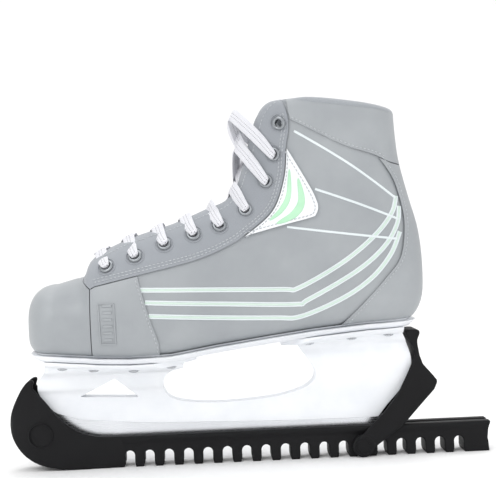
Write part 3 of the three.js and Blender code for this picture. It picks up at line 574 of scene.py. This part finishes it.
MATERIALS = {
    "shell": leather("boot_shell", rgb("A5A9AC"), rgb("979B9F"), 0.46),
    "toe": leather("toe_cap", rgb("A3A7AA"), rgb("969A9E"), 0.36, 1500.0, 0.00004),
    "stay": weave("eyestay_nylon", rgb("A3A7AD"), rgb("858A91")),
    "badge": leather("badge", rgb("F4F5F7"), rgb("E3E6E9"), 0.42, 1100.0, 0.00006),
    "mint": leather("white_print", rgb("E6ECEE"), rgb("DAE2E4"), 0.4, 1100.0, 0.00004),
    "pale": leather("pale_green_print", rgb("D6E7DC"), rgb("CCDFD3"), 0.4, 1100.0, 0.00004),
    "green": leather("green_inlay", rgb("BFE8C8"), rgb("A9D9B6"), 0.4, 1100.0, 0.00005),
    "thread": weave("thread", rgb("C6CACD"), rgb("A4A8AC"), 0.0003, 0.7, 0.0001),
    "lining": weave("lining_cloth", rgb("8C9196"), rgb("6E7378"), 0.0016, 0.9, 0.0004),
    "tongue": weave("tongue_cloth", rgb("9DA2A8"), rgb("7C8188"), 0.0018, 0.88, 0.0005),
    "binding": weave("edge_binding", rgb("A6AAAF"), rgb("83888E"), 0.0007, 0.7, 0.0002),
    "felt": weave("insole_felt", rgb("DADCDD"), rgb("BFC2C4"), 0.0009, 0.95, 0.0004),
    "lace": lace_weave("lace_braid"),
    "tip": plastic("lace_tip", rgb("EDEFF2"), rgb("DDE0E4"), 0.25),
    "sole": plastic("outsole_plastic", rgb("F3F5F8"), rgb("E2E5EA"), 0.38, 900.0, 0.00006, 0.15),
    "holder": plastic("holder_nylon", rgb("F5F7FA"), rgb("E9ECF1"), 0.36, 1200.0, 0.00004, 0.15),
    "guard": plastic("guard_polypropylene", rgb("121214"), rgb("0B0B0D"), 0.55, 1600.0, 0.00008, 0.25,
                     0.2),
    "steel": steel("runner_steel", rgb("DFE1E5")),
    "nickel": steel("eyelet_nickel", rgb("9EA2A6"), 0.34, (400, 400, 400)),
}


def place(obj, material, body, replaces=(), angle=38):
    """Puts a piece made in mm into the frame, with its material, body and slot."""
    obj.data.transform(Matrix.Scale(MM, 4) @ Matrix.Translation(ORIGIN))
    obj.data.materials.clear()
    obj.data.materials.append(MATERIALS[material])
    obj.data.shade_smooth()
    obj.data.set_sharp_from_angle(angle=math.radians(angle))
    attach(obj, body)
    if replaces:
        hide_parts(*replaces)
    return obj


def named(obj, name):
    obj.name = name
    obj.data.name = name
    return obj


def dress(node, material):
    """A CAD node that is shown as it is, with a finish."""
    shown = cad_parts[node]
    shown.data.materials.clear()
    shown.data.materials.append(MATERIALS[material])


# ---------- the upper ----------
GAP_TOOL = lacing_gap()
OVERLAY = combine(shell(*COVER), panel(ABOVE_SOLE), "INTERSECT")


def overlay(name, outline, side, material="shell", open_gap=False, holes=False):
    made = combine(copy(OVERLAY), panel(outline, side), "INTERSECT")
    if open_gap:
        combine(made, GAP_TOOL, "DIFFERENCE", keep=True)
    if holes:
        combine(made, eyelet_holes(side), "DIFFERENCE")
    return place(named(made, name + "_look"), material, "skate", [name])


def upper():
    quarters = combine(shell(*QUARTER), panel(BEHIND_TOE), "INTERSECT")
    combine(quarters, GAP_TOOL, "DIFFERENCE", keep=True)
    for word, side in SIDES:
        made = combine(copy(quarters), half(side), "INTERSECT")
        combine(made, eyelet_holes(side), "DIFFERENCE")
        place(named(made, f"quarter_{word}_look"), "shell", "skate", [f"quarter_{word}"])
        overlay(f"vamp_panel_{word}", VAMP, side)
        overlay(f"eyestay_{word}", EYESTAY, side, "stay", True, True)
    bpy.data.objects.remove(quarters)
    overlay("heel_counter", COUNTER, 0)
    overlay("collar", COLLAR, 0, "shell", True)
    cap = combine(shell(*TOE_CAP), panel(TOE), "INTERSECT")
    combine(cap, strip(0, -30), "DIFFERENCE")
    place(named(cap, "toe_cap_look"), "toe", "skate", ["toe_cap"], 50)


def lining():
    lacing = [*(SEAM + (1, -1)), (0, 300), (-60, 230), (-131, 200), (-131, 134)]
    made = combine(shell(*LINING), panel(lacing), "DIFFERENCE")
    combine(made, GAP_TOOL, "DIFFERENCE", keep=True)
    place(named(made, "lining_look"), "lining", "skate", ["lining"], 60)


def tube(name, points, radius, sides=12):
    """A round cord through points, with round ends."""
    p = np.asarray(points, float)
    rings = []
    up = Vector((0, 0, 1))
    for i, at in enumerate(p):
        along = Vector(p[min(i + 1, len(p) - 1)] - p[max(i - 1, 0)]).normalized()
        across = along.cross(up).normalized()
        up = across.cross(along).normalized()
        ends = min(i, len(p) - 1 - i)
        r = radius * (0.55 if ends == 0 else 0.88 if ends == 1 else 1)
        ring = []
        for k in range(sides):
            a = 2 * math.pi * k / sides
            ring.append(Vector(at) + across * r * math.cos(a) - up * r * math.sin(a))
        rings.append([tuple(q) for q in ring])
    return loft(name, rings)


def trims():
    """The collar's padded rim and the bindings of the lacing edges."""
    u = np.linspace(-0.985, 0.985, 120)
    t = np.full_like(u, LAST)
    rim = surface(t, u) - normals(t, u) * 2.3
    pad = tube("collar_rim", rim, 3.7, 16)
    place(pad, "binding", "skate", angle=80)
    for word, side in SIDES:
        ts = np.linspace(3.05, LAST - 0.15, 120)
        gaps = sections(ts)["g"]
        edge = [near_edge(t, side * (g + 0.6), 0.3) for t, g in zip(ts, gaps)]
        place(tube(f"lacing_binding_{word}", edge, 1.5), "binding", "skate", angle=80)


def tongue():
    """A quilted pad under the lacing gap: thick between two sewn channels, thin at its edges."""
    across = np.linspace(-1, 1, 33)
    rings = []
    ts = np.linspace(2.9, LAST - 0.05, 110)
    for n, t in enumerate(ts):
        g = float(sections(np.array(t))["g"]) - 1.5
        end = min(1.0, (len(ts) - 1 - n) / 7 + 0.25, n / 4 + 0.3)
        puff = 0.9 - 0.5 * np.exp(-((np.abs(across) - 0.42) / 0.05) ** 2)
        thick = 3.2 * end * np.maximum(1 - across ** 4, 0.02) * puff
        ripple = 0.35 * math.sin(n * 0.9) * (1 - across ** 2)
        middle = -18.2 + 10 * (1 - across ** 2)
        top = [near_edge(t, y * g, m + d + r) for y, m, d, r in zip(across, middle, thick, ripple)]
        low = [near_edge(t, y * g, m - d) for y, m, d in zip(across[1:-1], middle[1:-1], thick[1:-1])]
        rings.append(low + top[::-1])
    made = loft("tongue_look", rings)
    weld(made, 1e-5)
    place(made, "tongue", "skate", ["tongue"], 80)


def badges():
    for word, side in SIDES:
        made = combine(shell(*BADGE_LAYER), panel(BADGE, side), "INTERSECT")
        place(named(made, f"ankle_badge_{word}_look"), "badge", "skate",
              [f"ankle_badge_{word}"])


# ---------- what is printed, raised or sewn on the upper ----------
def resample(points, pitch):
    p = np.asarray(points, float)
    lengths = np.concatenate([[0], np.cumsum(np.linalg.norm(np.diff(p, axis=0), axis=1))])
    count = max(2, int(lengths[-1] / pitch) + 1)
    at = np.linspace(0, lengths[-1], count)
    return np.stack([np.interp(at, lengths, p[:, i]) for i in range(p.shape[1])], -1)


def ribbon(name, points, width, low, high, side):
    """A thin raised band along a side-view line."""
    p = resample(points, 1.4) if np.ndim(width) == 0 else np.asarray(points, float)
    along = np.gradient(p, axis=0)
    along /= np.linalg.norm(along, axis=1, keepdims=True)
    across = np.stack([-along[:, 1], along[:, 0]], -1) * width / 2
    corners = [(p - across, low), (p + across, low), (p + across * 0.8, high), (p - across * 0.8, high)]
    rings = np.stack([on_side(q, side, lift)[0] for q, lift in corners], 1)
    return loft(name, rings, side == LEFT)


STRIPES = [
    [(-85.5, 134.4), (-40, 132.6), (17, 130.3), (30, 131), (63.1, 148.3), (87.5, 167.3),
     (100.8, 183.1), (105, 195.6)],
    [(-82.3, 125.3), (-30, 122), (25.7, 119), (36, 121.8), (71.9, 140.7), (93.3, 157.7),
     (104.5, 174.4), (107, 188)],
    [(-80, 115.5), (-30, 112), (12, 109.8), (31, 110), (62.1, 122), (84, 136), (99, 153),
     (106.6, 169.1)],
]
RAYS = [[(30.5, 245.5), (70, 220), (104.5, 194)], [(44.5, 202.6), (75, 191), (106, 178.3)],
        [(22.9, 175.6), (60, 170), (104.2, 163.8)]]
CRESCENTS = [[(10.5, 180.5), (19.5, 188), (25.4, 199), (27, 218)],
             [(15.5, 178), (28, 184), (34.5, 194), (33, 211)]]
TAPER = np.sin(np.linspace(0.06, math.pi - 0.06, 25)) ** 0.7
PLAQUE = [(-115.4, 125.6), (-104.2, 125.2), (-103.9, 97), (-114.6, 97.4)]


def marks():
    for word, side in SIDES:
        bands, cores = [], []
        for line in STRIPES:
            smooth = catmull(line, 60)
            bands += [ribbon("band", inset(smooth, shift), 1.2, -0.2, 0.45, side)
                      for shift in (-1.25, 1.25)]
            cores.append(ribbon("core", smooth, 1.6, -0.2, 0.3, side))
        bands += [ribbon("ray", catmull(line, 30), 1.9, -0.2, 0.4, side) for line in RAYS]
        place(join(f"stripes_{word}", bands), "mint", "skate")
        place(join(f"stripe_cores_{word}", cores), "pale", "skate")
        inlays = [ribbon("inlay", catmull(line, 24), wide * TAPER[:, None], 2.2, 2.8, side)
                  for line, wide in zip(CRESCENTS, (4.4, 6.2))]
        place(join(f"badge_inlays_{word}", inlays), "green", "skate")
        ribs = []
        for n in range(6):
            z = 100 + n * 4.8
            ribs.append(ribbon("rib", [(-112.6, z), (-106, z)], 2.0, 1.3, 2.1, side))
        border = [*PLAQUE, PLAQUE[0]]
        for a, b in zip(border, border[1:]):
            ribs.append(ribbon("rib", [a, b], 1.1, 1.3, 2.2, side))
        place(join(f"vamp_plaque_{word}", ribs), "shell", "skate")


def stitches(lines, side):
    """Rows of short raised threads, as one mesh."""
    points, faces = [], []
    sides, profile = 6, ((-1.0, 0.35), (-0.7, 1.0), (0.7, 1.0), (1.0, 0.35))
    for line, lift in lines:
        p = resample(line, 2.9)
        middle = (p[1:] + p[:-1]) / 2
        at, n = on_side(middle, side, lift)
        ahead = on_side(middle + (p[1:] - p[:-1]) * 0.2, side, lift)[0]
        for here, up, there in zip(at, n, ahead):
            along = Vector(there - here).normalized()
            up = Vector(up)
            across = along.cross(up).normalized()
            base = len(points)
            for reach, grow in profile:
                for k in range(sides):
                    a = 2 * math.pi * k / sides
                    round_part = across * math.cos(a) * 0.36 + up * math.sin(a) * 0.3
                    points.append(Vector(here) + along * reach * 1.05 + round_part * grow)
            for row in range(len(profile) - 1):
                for k in range(sides):
                    m = (k + 1) % sides
                    faces.append((base + row * sides + k, base + row * sides + m,
                                  base + (row + 1) * sides + m, base + (row + 1) * sides + k))
            faces.append(tuple(base + k for k in reversed(range(sides))))
            faces.append(tuple(base + (len(profile) - 1) * sides + k for k in range(sides)))
    made = mesh_object("stitches", points, faces)
    weld(made, 1e-6)
    return made


def inset(points, distance):
    """A line moved sideways, to its left."""
    p = np.asarray(points, float)
    along = np.gradient(p, axis=0)
    along /= np.linalg.norm(along, axis=1, keepdims=True)
    return p + np.stack([-along[:, 1], along[:, 0]], -1) * distance


def sewing():
    seam = SEAM[SEAM[:, 1] < 262]
    edge_t = np.linspace(3.3, LAST - 0.6, 90)
    tops = sections(edge_t)
    top_line = np.stack([tops["tx"], tops["tz"]], -1)
    up = np.stack([tops["bx"] - tops["tx"], tops["bz"] - tops["tz"]], -1)
    top_line += up / np.linalg.norm(up, axis=1, keepdims=True) * 3.4
    badge_ring = np.array([*BADGE, BADGE[0]])
    for word, side in SIDES:
        lines = [
            (inset(seam, 1.9), 1.6), (inset(seam, 3.9), 1.6), (top_line, 1.6),
            (inset(catmull([(-72.9, 89), (-73.5, 96.3), (-79.9, 115.6), (-85.3, 136.3), (-86.5, 142)],
                           20), 1.8), 1.6),
            (inset(COUNTER_EDGE, -1.8), 1.6), (inset(COLLAR_EDGE[:22], 2.0), 1.6),
            (inset(badge_ring, -1.7), 2.5),
        ]
        place(stitches(lines, side), "thread", "skate",
              angle=80).name = f"stitching_{word}"


# ---------- eyelets and lace ----------
def eyelets():
    profile = [(2.6, -3.2), (3.2, -3.2), (3.2, 0), (5.2, 0), (5.1, 0.45), (4.6, 0.95), (3.8, 1.1),
               (3.1, 0.85), (2.65, 0.2)]
    for word, side in SIDES:
        at, n = on_side(EYELETS, side, 2.0)
        for i, (p, q) in enumerate(zip(at, n), 1):
            ring = turned(f"eyelet_{word}_{i}_look", profile, 32, p, q)
            place(ring, "nickel", "skate", [f"eyelet_{word}_{i}"], 50)
            surround = [(6.1, -0.9), (7.1, -0.9), (7.0, 0), (6.6, 0.2), (6.2, 0)]
            turn = turned(f"eyelet_surround_{word}_{i}", surround, 40, p - q * 0.35, q)
            place(turn, "stay", "skate", angle=60)


LOOSE = [0, 0, 0, 0, 0, 1, 7, 15]
TAIL = [(12, 22, 8), (16, 20, 28), (14, 18, 46)]
WIDE, THICK = 4.7, 0.7
NARROW, BUNCHED = 2.4, 1.1
LEAN = 7  # how far towards the toe a run leaves its eyelet


def strand(row, side, lift):
    """Points, half widths and half thicknesses of one run, from its crossing in through an eyelet."""
    x, z = EYELETS[row]
    t = float(side_t(np.array(x), np.array(z)))
    before = (float(side_t(*map(np.array, EYELETS[row - 1]))) + t) / 2 if row else t - 0.45
    over = float(side_t(np.array(x - LEAN), np.array(z + 11)))
    g = float(sections(np.array(t))["g"])
    at, n = on_side([(x, z)], side)
    at, n = at[0], n[0]
    loose = LOOSE[row]
    return [
        (near_edge(before, 0, lift + loose), WIDE, THICK),
        (near_edge(over, side * (g - 4), 3.4 + loose * 1.25), WIDE, THICK),
        (near_edge(over + 0.04, side * (g + 2.5), 3.6 + loose * 0.7), WIDE, THICK),
        ((at + n * 4.2) * 0.45 + near_edge(over + 0.04, side * (g + 5), 1.5 + loose * 0.4) * 0.55,
         WIDE * 0.95, THICK),
        (at + n * 4.8, NARROW * 1.35, BUNCHED),
        (at + n * 1, NARROW, BUNCHED),
        (at - n * 5.4, NARROW * 1.1, BUNCHED),
        (near_edge(t + 0.1, side * (g - 1), -5), WIDE * 0.9, THICK),
    ]


def lace_run(start):
    run = []
    for row in range(LACED):
        side = -start if row % 2 else start
        lift = 3 if row == 0 else (0.4 if start == LEFT else -3.2)
        passed = strand(row, side, lift)
        run += passed[1:] if row == 0 else passed
    run.pop()
    end = run[-1][0]
    inward = math.copysign(1, end[1])
    for along, across, down in TAIL:
        run.append((np.array([end[0] + along, inward * across, end[2] - down]), WIDE * 0.8, THICK))
    return run


def lace():
    left, right = lace_run(LEFT), lace_run(RIGHT)
    stops = left[::-1] + right
    steps = (len(stops) - 1) * 9
    path = catmull([s[0] for s in stops], steps)
    size = catmull([s[1:] for s in stops], steps)
    sides, rings, length, marks_at = 16, [], 0.0, []
    reference = Vector((0.45, 0, 0.9))
    for i, at in enumerate(path):
        along = Vector(path[min(i + 1, len(path) - 1)] - path[max(i - 1, 0)]).normalized()
        tail = min(i, len(path) - 1 - i) < 4 * 9
        lean = Vector((1, 0, 0.1)) if tail else Vector((0.85, 0, 0.5)) if at[2] < 190 else reference
        width = lean - along * lean.dot(along)
        width.normalize()
        flat = width.cross(along).normalized()
        length += float(np.linalg.norm(path[i] - path[i - 1])) if i else 0.0
        ring = []
        for k in range(sides):
            a = 2 * math.pi * k / sides
            c, s = math.cos(a), math.sin(a)
            over = math.copysign(abs(s) ** 0.8, s)
            ring.append(tuple(Vector(at) + width * size[i, 0] * c - flat * size[i, 1] * over))
            marks_at.append((length, size[i, 0] * c))
        rings.append(ring)
    made = loft("lace_look", rings, False)
    layer = made.data.uv_layers.new(name="braid")
    for loop in made.data.loops:
        layer.data[loop.index].uv = marks_at[loop.vertex_index]
    print("lace length mm", round(length))
    place(made, "lace", "skate", ["lace"], 80)


# ---------- outsole, holder, fasteners ----------
def rivet_holes():
    rods = []
    for x, y in RIVETS:
        for _, side in SIDES:
            rods.append(rod(2.2, (x, side * y, sole_z(x) - 30), (x, side * y, sole_z(x) + 30), 16))
    return join("holes", rods)


HOLDER = [
    *catmull([(-159, 84), (-160.2, 75), (-163.8, 69.8), (-166, 66), (-166, 58), (-161, 48),
              (-153, 41.8)], 30),
    (-135, 36.5), (-91, 32.4), (-16, 29.8), (33, 28.8), (89, 28.8),
    *catmull([(90, 30), (96.5, 38), (107, 50), (113.6, 63), (115, 71.5), (112.6, 82), (108.6, 92)], 30),
    (108.6, 99), (20, 96), (-46, 84),
]
WINDOW = [
    *catmull([(-57, 74), (-67.5, 70.5), (-72.4, 64), (-72, 56.5), (-66, 50), (-52, 46.6), (-34, 45.4),
              (-15, 45.8),
              (9.6, 47.8), (28, 51.8), (38.5, 57), (42, 63), (40.4, 69.4), (30, 85)], 80), (30, 100),
    (-57, 100)]
SPUR = [(-133.8, 54.8), (-135.1, 54.1), (-133.4, 53.8), (-93.6, 52), (-92.2, 52.3), (-92.9, 53.3),
        (-107.8, 66.4), (-109.2, 66.9), (-110.6, 66.4)]
ROOM = [(-166.5, 52), (-166.5, 0), (130, 0), (96.5, 36), (87, 40.6), (-140, 43.6), (-154.5, 51.8)]


def tower(top, wide, x0, x1):
    right = [(4.4, 26), (5.6, 44), (7.5, 56), (10.5, top - 14), (wide * 0.7, top - 5), (wide, top),
             (wide, top + 12)]
    right = catmull(right, 36)
    return prism(both_sides(right), x0, x1, "x")


PLATE_CUT = 0.8  # height above the sole line where the plates take the boot's plan
OUTSOLE = (0.3, 4.3)  # depth of the upper face below the sole line, and thickness
FLANGE = (4.9, 4.4)
FLANGE_NARROW = 0.92
BOLTS = (-83, 78)
RIVET_SEAT, RIVET_LENGTH = 9.8, 9.1


def sole_plate(top, thick):
    """A plate of the boot's own plan, its upper face this far below the sole line."""
    plate = combine(last(1), strip(PLATE_CUT + thick, PLATE_CUT), "INTERSECT")
    plate.data.transform(Matrix.Translation((0, 0, -PLATE_CUT - top - thick)))
    return plate


def chassis():
    slab = sole_plate(*OUTSOLE)
    combine(slab, rivet_holes(), "DIFFERENCE")
    # The raised bead that closes the seam between the boot and the outsole.
    welt = combine(shell(0.3, 1.45), strip(1.45, -1.4), "INTERSECT")
    combine(slab, welt, "UNION")
    place(named(slab, "outsole_look"), "sole", "skate", ["outsole"])

    side = combine(prism(HOLDER, -45, 45, "y"), prism(WINDOW, -50, 50, "y"), "DIFFERENCE")
    towers = combine(tower(75, 19, -200, -46.5), tower(89, 13.5, -47, 200), "UNION")
    combine(side, towers, "INTERSECT")
    combine(side, strip(60, -5.1), "DIFFERENCE")
    flange = sole_plate(*FLANGE)
    flange.data.transform(Matrix.Diagonal((1, FLANGE_NARROW, 1, 1)))
    front = [(-158, -45), *catmull([(-80, -45), (-70, -33.5), (-60, -22), (-47, -9)], 16)]
    rear = [(17, -10), *catmull([(22, -15), (30, -27), (42, -30)], 12), (108.6, -30)]
    plates = [prism(mirrored(outline), 40, 120, "z") for outline in (front, rear)]
    combine(flange, join("plates", plates), "INTERSECT")
    combine(side, flange, "UNION")
    combine(side, prism(SPUR, -50, 50, "y"), "DIFFERENCE")
    slot = combine(box(-170, 120, -1.9, 1.9, 0, 60), prism(ROOM, -10, 10, "y"), "INTERSECT")
    combine(side, slot, "DIFFERENCE")
    for x in BOLTS:
        combine(side, rod(2.9, (x, 0, 41.7), (x, 0, 130), 20), "DIFFERENCE")
        combine(side, rod(5, (x, 0, sole_z(x) - 8.9), (x, 0, 130), 24), "DIFFERENCE")
    combine(side, rivet_holes(), "DIFFERENCE")
    place(named(side, "blade_holder_look"), "holder", "skate", ["blade_holder"], 45)

    for word, at in SIDES:
        for i, (x, y) in enumerate(RIVETS, 1):
            under = sole_z(x) - RIVET_SEAT
            top = RIVET_LENGTH
            profile = [(0, -1.6), (1.6, -1.5), (2.9, -1.1), (3.8, -0.5), (4, -0.1), (3.9, 0), (1.8, 0),
                       (1.8, top), (0, top)]
            head = turned(f"rivet_{word}_{i}_look", profile, 24, (x, at * y, under), (0, 0, 1))
            place(head, "steel", "skate", [f"rivet_{word}_{i}"], 45)


# ---------- the guard ----------
CUP = [(-105, 0), (-135, 0),
       *catmull([(-143, 0.3), (-156, 1.8), (-169, 6), (-179.5, 13.5), (-186.5, 23.5), (-189, 33),
                 (-187.5, 44), (-181, 58), (-175.4, 66), (-172, 68.3)], 50),
       (-169.6, 68.4), (-169.2, 66.5),
       *catmull([(-170.5, 62.5), (-161, 51.6), (-153.6, 42), (-146, 34.2), (-136, 27.6), (-125, 24.2),
                 (-112, 23.2)], 40),
       (-105, 23.2)]
CUP_PLAN = catmull([(-189.5, 2), (-187, 6.5), (-182, 9.5), (-174, 12), (-163, 13), (-145, 12.6),
                    (-128, 11.2), (-112, 10.4), (-104, 10)], 50)
CUP_ROOM = [*catmull([(-169, 80), (-173.5, 66), (-179.5, 55), (-184, 42), (-184.5, 32), (-180, 22),
                      (-170, 15.5), (-158, 14.4)], 40), (-130, 14.6), (-112, 14.8), (-112, 80)]
ROOM_PLAN = catmull([(-185.5, 2.5), (-182, 6), (-174, 8.4), (-163, 9.2), (-147, 8), (-133, 5),
                     (-118, 2.6), (-111, 2.6)], 40)
TEETH_FIRST, TEETH_PITCH, TEETH_COUNT = -99.7, 14.65, 18


def guard():
    right = [(10.4, 0), (9.5, 12.4), (9.4, 17), (10.8, 20.2), (10.8, 22.6), (10.2, 23.2), (2.6, 23.2),
             (2.6, 15)]
    beam = prism(both_sides(right), -105.3, 174, "x")
    tail = [(170, 24.2), (175, 24.2), (175, -1), (172.6, -1), (171.6, 10), (172.4, 17), (174, 23.2)]
    combine(beam, prism(tail, -20, 20, "y"), "DIFFERENCE")
    notches = []
    for i in range(TEETH_COUNT):
        x = TEETH_FIRST + i * TEETH_PITCH
        radius, top = 3.65, 12.2
        arch = [(x + radius * math.cos(a), top - radius + radius * math.sin(a))
                for a in np.linspace(0, math.pi, 17)]
        outline = [(x - radius - 0.8, -1), (x + radius + 0.8, -1), (x + radius, 3), *arch,
                   (x - radius, 3)]
        notches.append(prism(outline, -20, 20, "y"))
    combine(beam, join("notches", notches), "DIFFERENCE")
    cup = combine(prism(CUP, -20, 20, "y"), prism(mirrored(CUP_PLAN), -1, 100, "z"), "INTERSECT")
    combine(beam, cup, "UNION")
    room = combine(prism(CUP_ROOM, -20, 20, "y"), prism(mirrored(ROOM_PLAN), -1, 100, "z"), "INTERSECT")
    combine(beam, room, "DIFFERENCE")
    combine(beam, box(-114, -100, -2.6, 2.6, 15, 40), "DIFFERENCE")
    soften(beam, 0.75)
    place(named(beam, "guard_rail_look"), "guard", "guard", ["guard_rail"], 60)

    for word, side in SIDES:
        ring = turned(f"cup_ring_{word}", [(8.2, -0.6), (9.6, -0.6), (9.5, 0.5), (9.1, 0.8),
                                           (8.7, 0.8), (8.3, 0.5)], 64,
                      (-165.2, side * 12.9, 27), (0, side, 0))
        place(ring, "guard", "guard", angle=60)


ARM = [(81.8, 22.9), (93.4, 34.1), (103.8, 47.2), (112.5, 64.1), (116.4, 73.1), (118.2, 78),
       (120.2, 77.4), *catmull([(123.2, 68.5), (132, 58), (133.5, 54.6), (131.2, 49)], 16),
       (119.5, 36.7), (106.6, 22.9), (84.5, 7), (68, 10)]
HOOD = [(115, 61), *catmull([(118, 73.1), (116.4, 80), (111.2, 91.2), (110.6, 93.4)], 14),
        *catmull([(112.5, 94.6), (119.7, 94.6), (121.6, 92), (119.6, 86), (120.6, 77.4), (121.4, 70),
                  (119.5, 62.5)], 30)]


STRAP_INNER, STRAP_OUTER = 11.3, 14.3  # the faces of each arm, from the middle
BOSS_RADIUS, BOSS_END = 8.4, 15.2
PIN_BORE, PIN_BORE_END = 3.2, 13.9


def heel_strap():
    x, z = PIVOT
    made = prism(HOOD, -STRAP_OUTER, STRAP_OUTER, "y")
    for _, side in SIDES:
        low, high = sorted((side * STRAP_INNER, side * STRAP_OUTER))
        combine(made, prism(ARM, low, high, "y"), "UNION")
        hub = rod(BOSS_RADIUS, (x, side * STRAP_INNER, z), (x, side * BOSS_END, z), 48)
        combine(made, hub, "UNION")
    combine(made, rod(PIN_BORE, (x, -PIN_BORE_END, z), (x, PIN_BORE_END, z), 32), "DIFFERENCE")
    soften(made, 0.6)
    place(named(made, "heel_strap_look"), "guard", "strap", ["heel_strap"], 60)
    for word, side in SIDES:
        dimple = turned(f"strap_boss_ring_{word}",
                        [(4.6, -0.5), (6, -0.5), (5.9, 0.35), (5.3, 0.6), (4.7, 0.35)], 48,
                        (x, side * BOSS_END, z), (0, side, 0))
        place(dimple, "guard", "strap", angle=60)


# ---------- the room ----------
def stage():
    sweep = [(-3.0, 0.0), (1.2, 0.0)]
    sweep += [(1.2 + math.sin(a), 1.0 - math.cos(a)) for a in np.linspace(0.1, math.pi / 2, 14)]
    sweep.append((2.2, 4.0))
    points = [(x, y, z) for y, z in sweep for x in (-5, 5)]
    faces = [(2 * i, 2 * i + 1, 2 * i + 3, 2 * i + 2) for i in range(len(sweep) - 1)]
    floor = mesh_object("floor", points, faces)
    floor.data.shade_smooth()
    n = Nodes("floor_paper")
    n.finish(Base_Color=n.ramp(n.noise(n.place(), 3.0), 0.3, 0.7, rgb("F8F8F8"), rgb("FCFCFC")),
             Roughness=0.9)
    floor.data.materials.append(n.material)
    world = bpy.data.worlds.new("studio")
    world.use_nodes = True
    world.node_tree.nodes["Background"].inputs["Color"].default_value = (1, 1, 1, 1)
    world.node_tree.nodes["Background"].inputs["Strength"].default_value = 0.8
    bpy.context.scene.world = world
    for name, at, size, power in (("key", (-0.9, -1.5, 1.5), 1.4, 15),
                                  ("fill", (1.3, -1.1, 0.8), 1.4, 5), ("top", (0.1, 0.4, 1.8), 1.6, 14)):
        light = bpy.data.lights.new(name, "AREA")
        light.size = size
        light.energy = power
        lamp = bpy.data.objects.new(name, light)
        lamp.location = at
        lamp.rotation_euler = (Vector((0, 0, 0.12)) - Vector(at)).to_track_quat("-Z", "Y").to_euler()
        bpy.context.scene.collection.objects.link(lamp)
    bpy.context.scene.view_settings.view_transform = "Standard"


LENS = 86
EYE, LOOK_AT = Vector((-41, -900, 178)), Vector((-4.6, 0, 167.5))  # mm, in the part's own axes
ROLL = math.radians(-2.2)


def camera():
    data = bpy.data.cameras.new("camera")
    data.lens = LENS
    eye = bpy.data.objects.new("camera", data)
    at = (EYE + ORIGIN) * MM
    target = (LOOK_AT + ORIGIN) * MM
    turn = (target - at).to_track_quat("-Z", "Y").to_matrix().to_4x4()
    eye.matrix_world = Matrix.Translation(at) @ turn @ Matrix.Rotation(ROLL, 4, "Z")
    bpy.context.scene.collection.objects.link(eye)
    bpy.context.scene.camera = eye


camera()
stage()
upper()
lining()
trims()
tongue()
badges()
marks()
sewing()
eyelets()
lace()
chassis()
guard()
heel_strap()
for tool in (GAP_TOOL, OVERLAY):
    bpy.data.objects.remove(tool)
for node, finish in (("insole", "felt"), ("aglet_left", "tip"), ("aglet_right", "tip"),
                     ("runner", "steel"), ("runner_bolt_front", "steel"), ("runner_bolt_rear", "steel"),
                     ("strap_pin", "guard")):
    dress(node, finish)
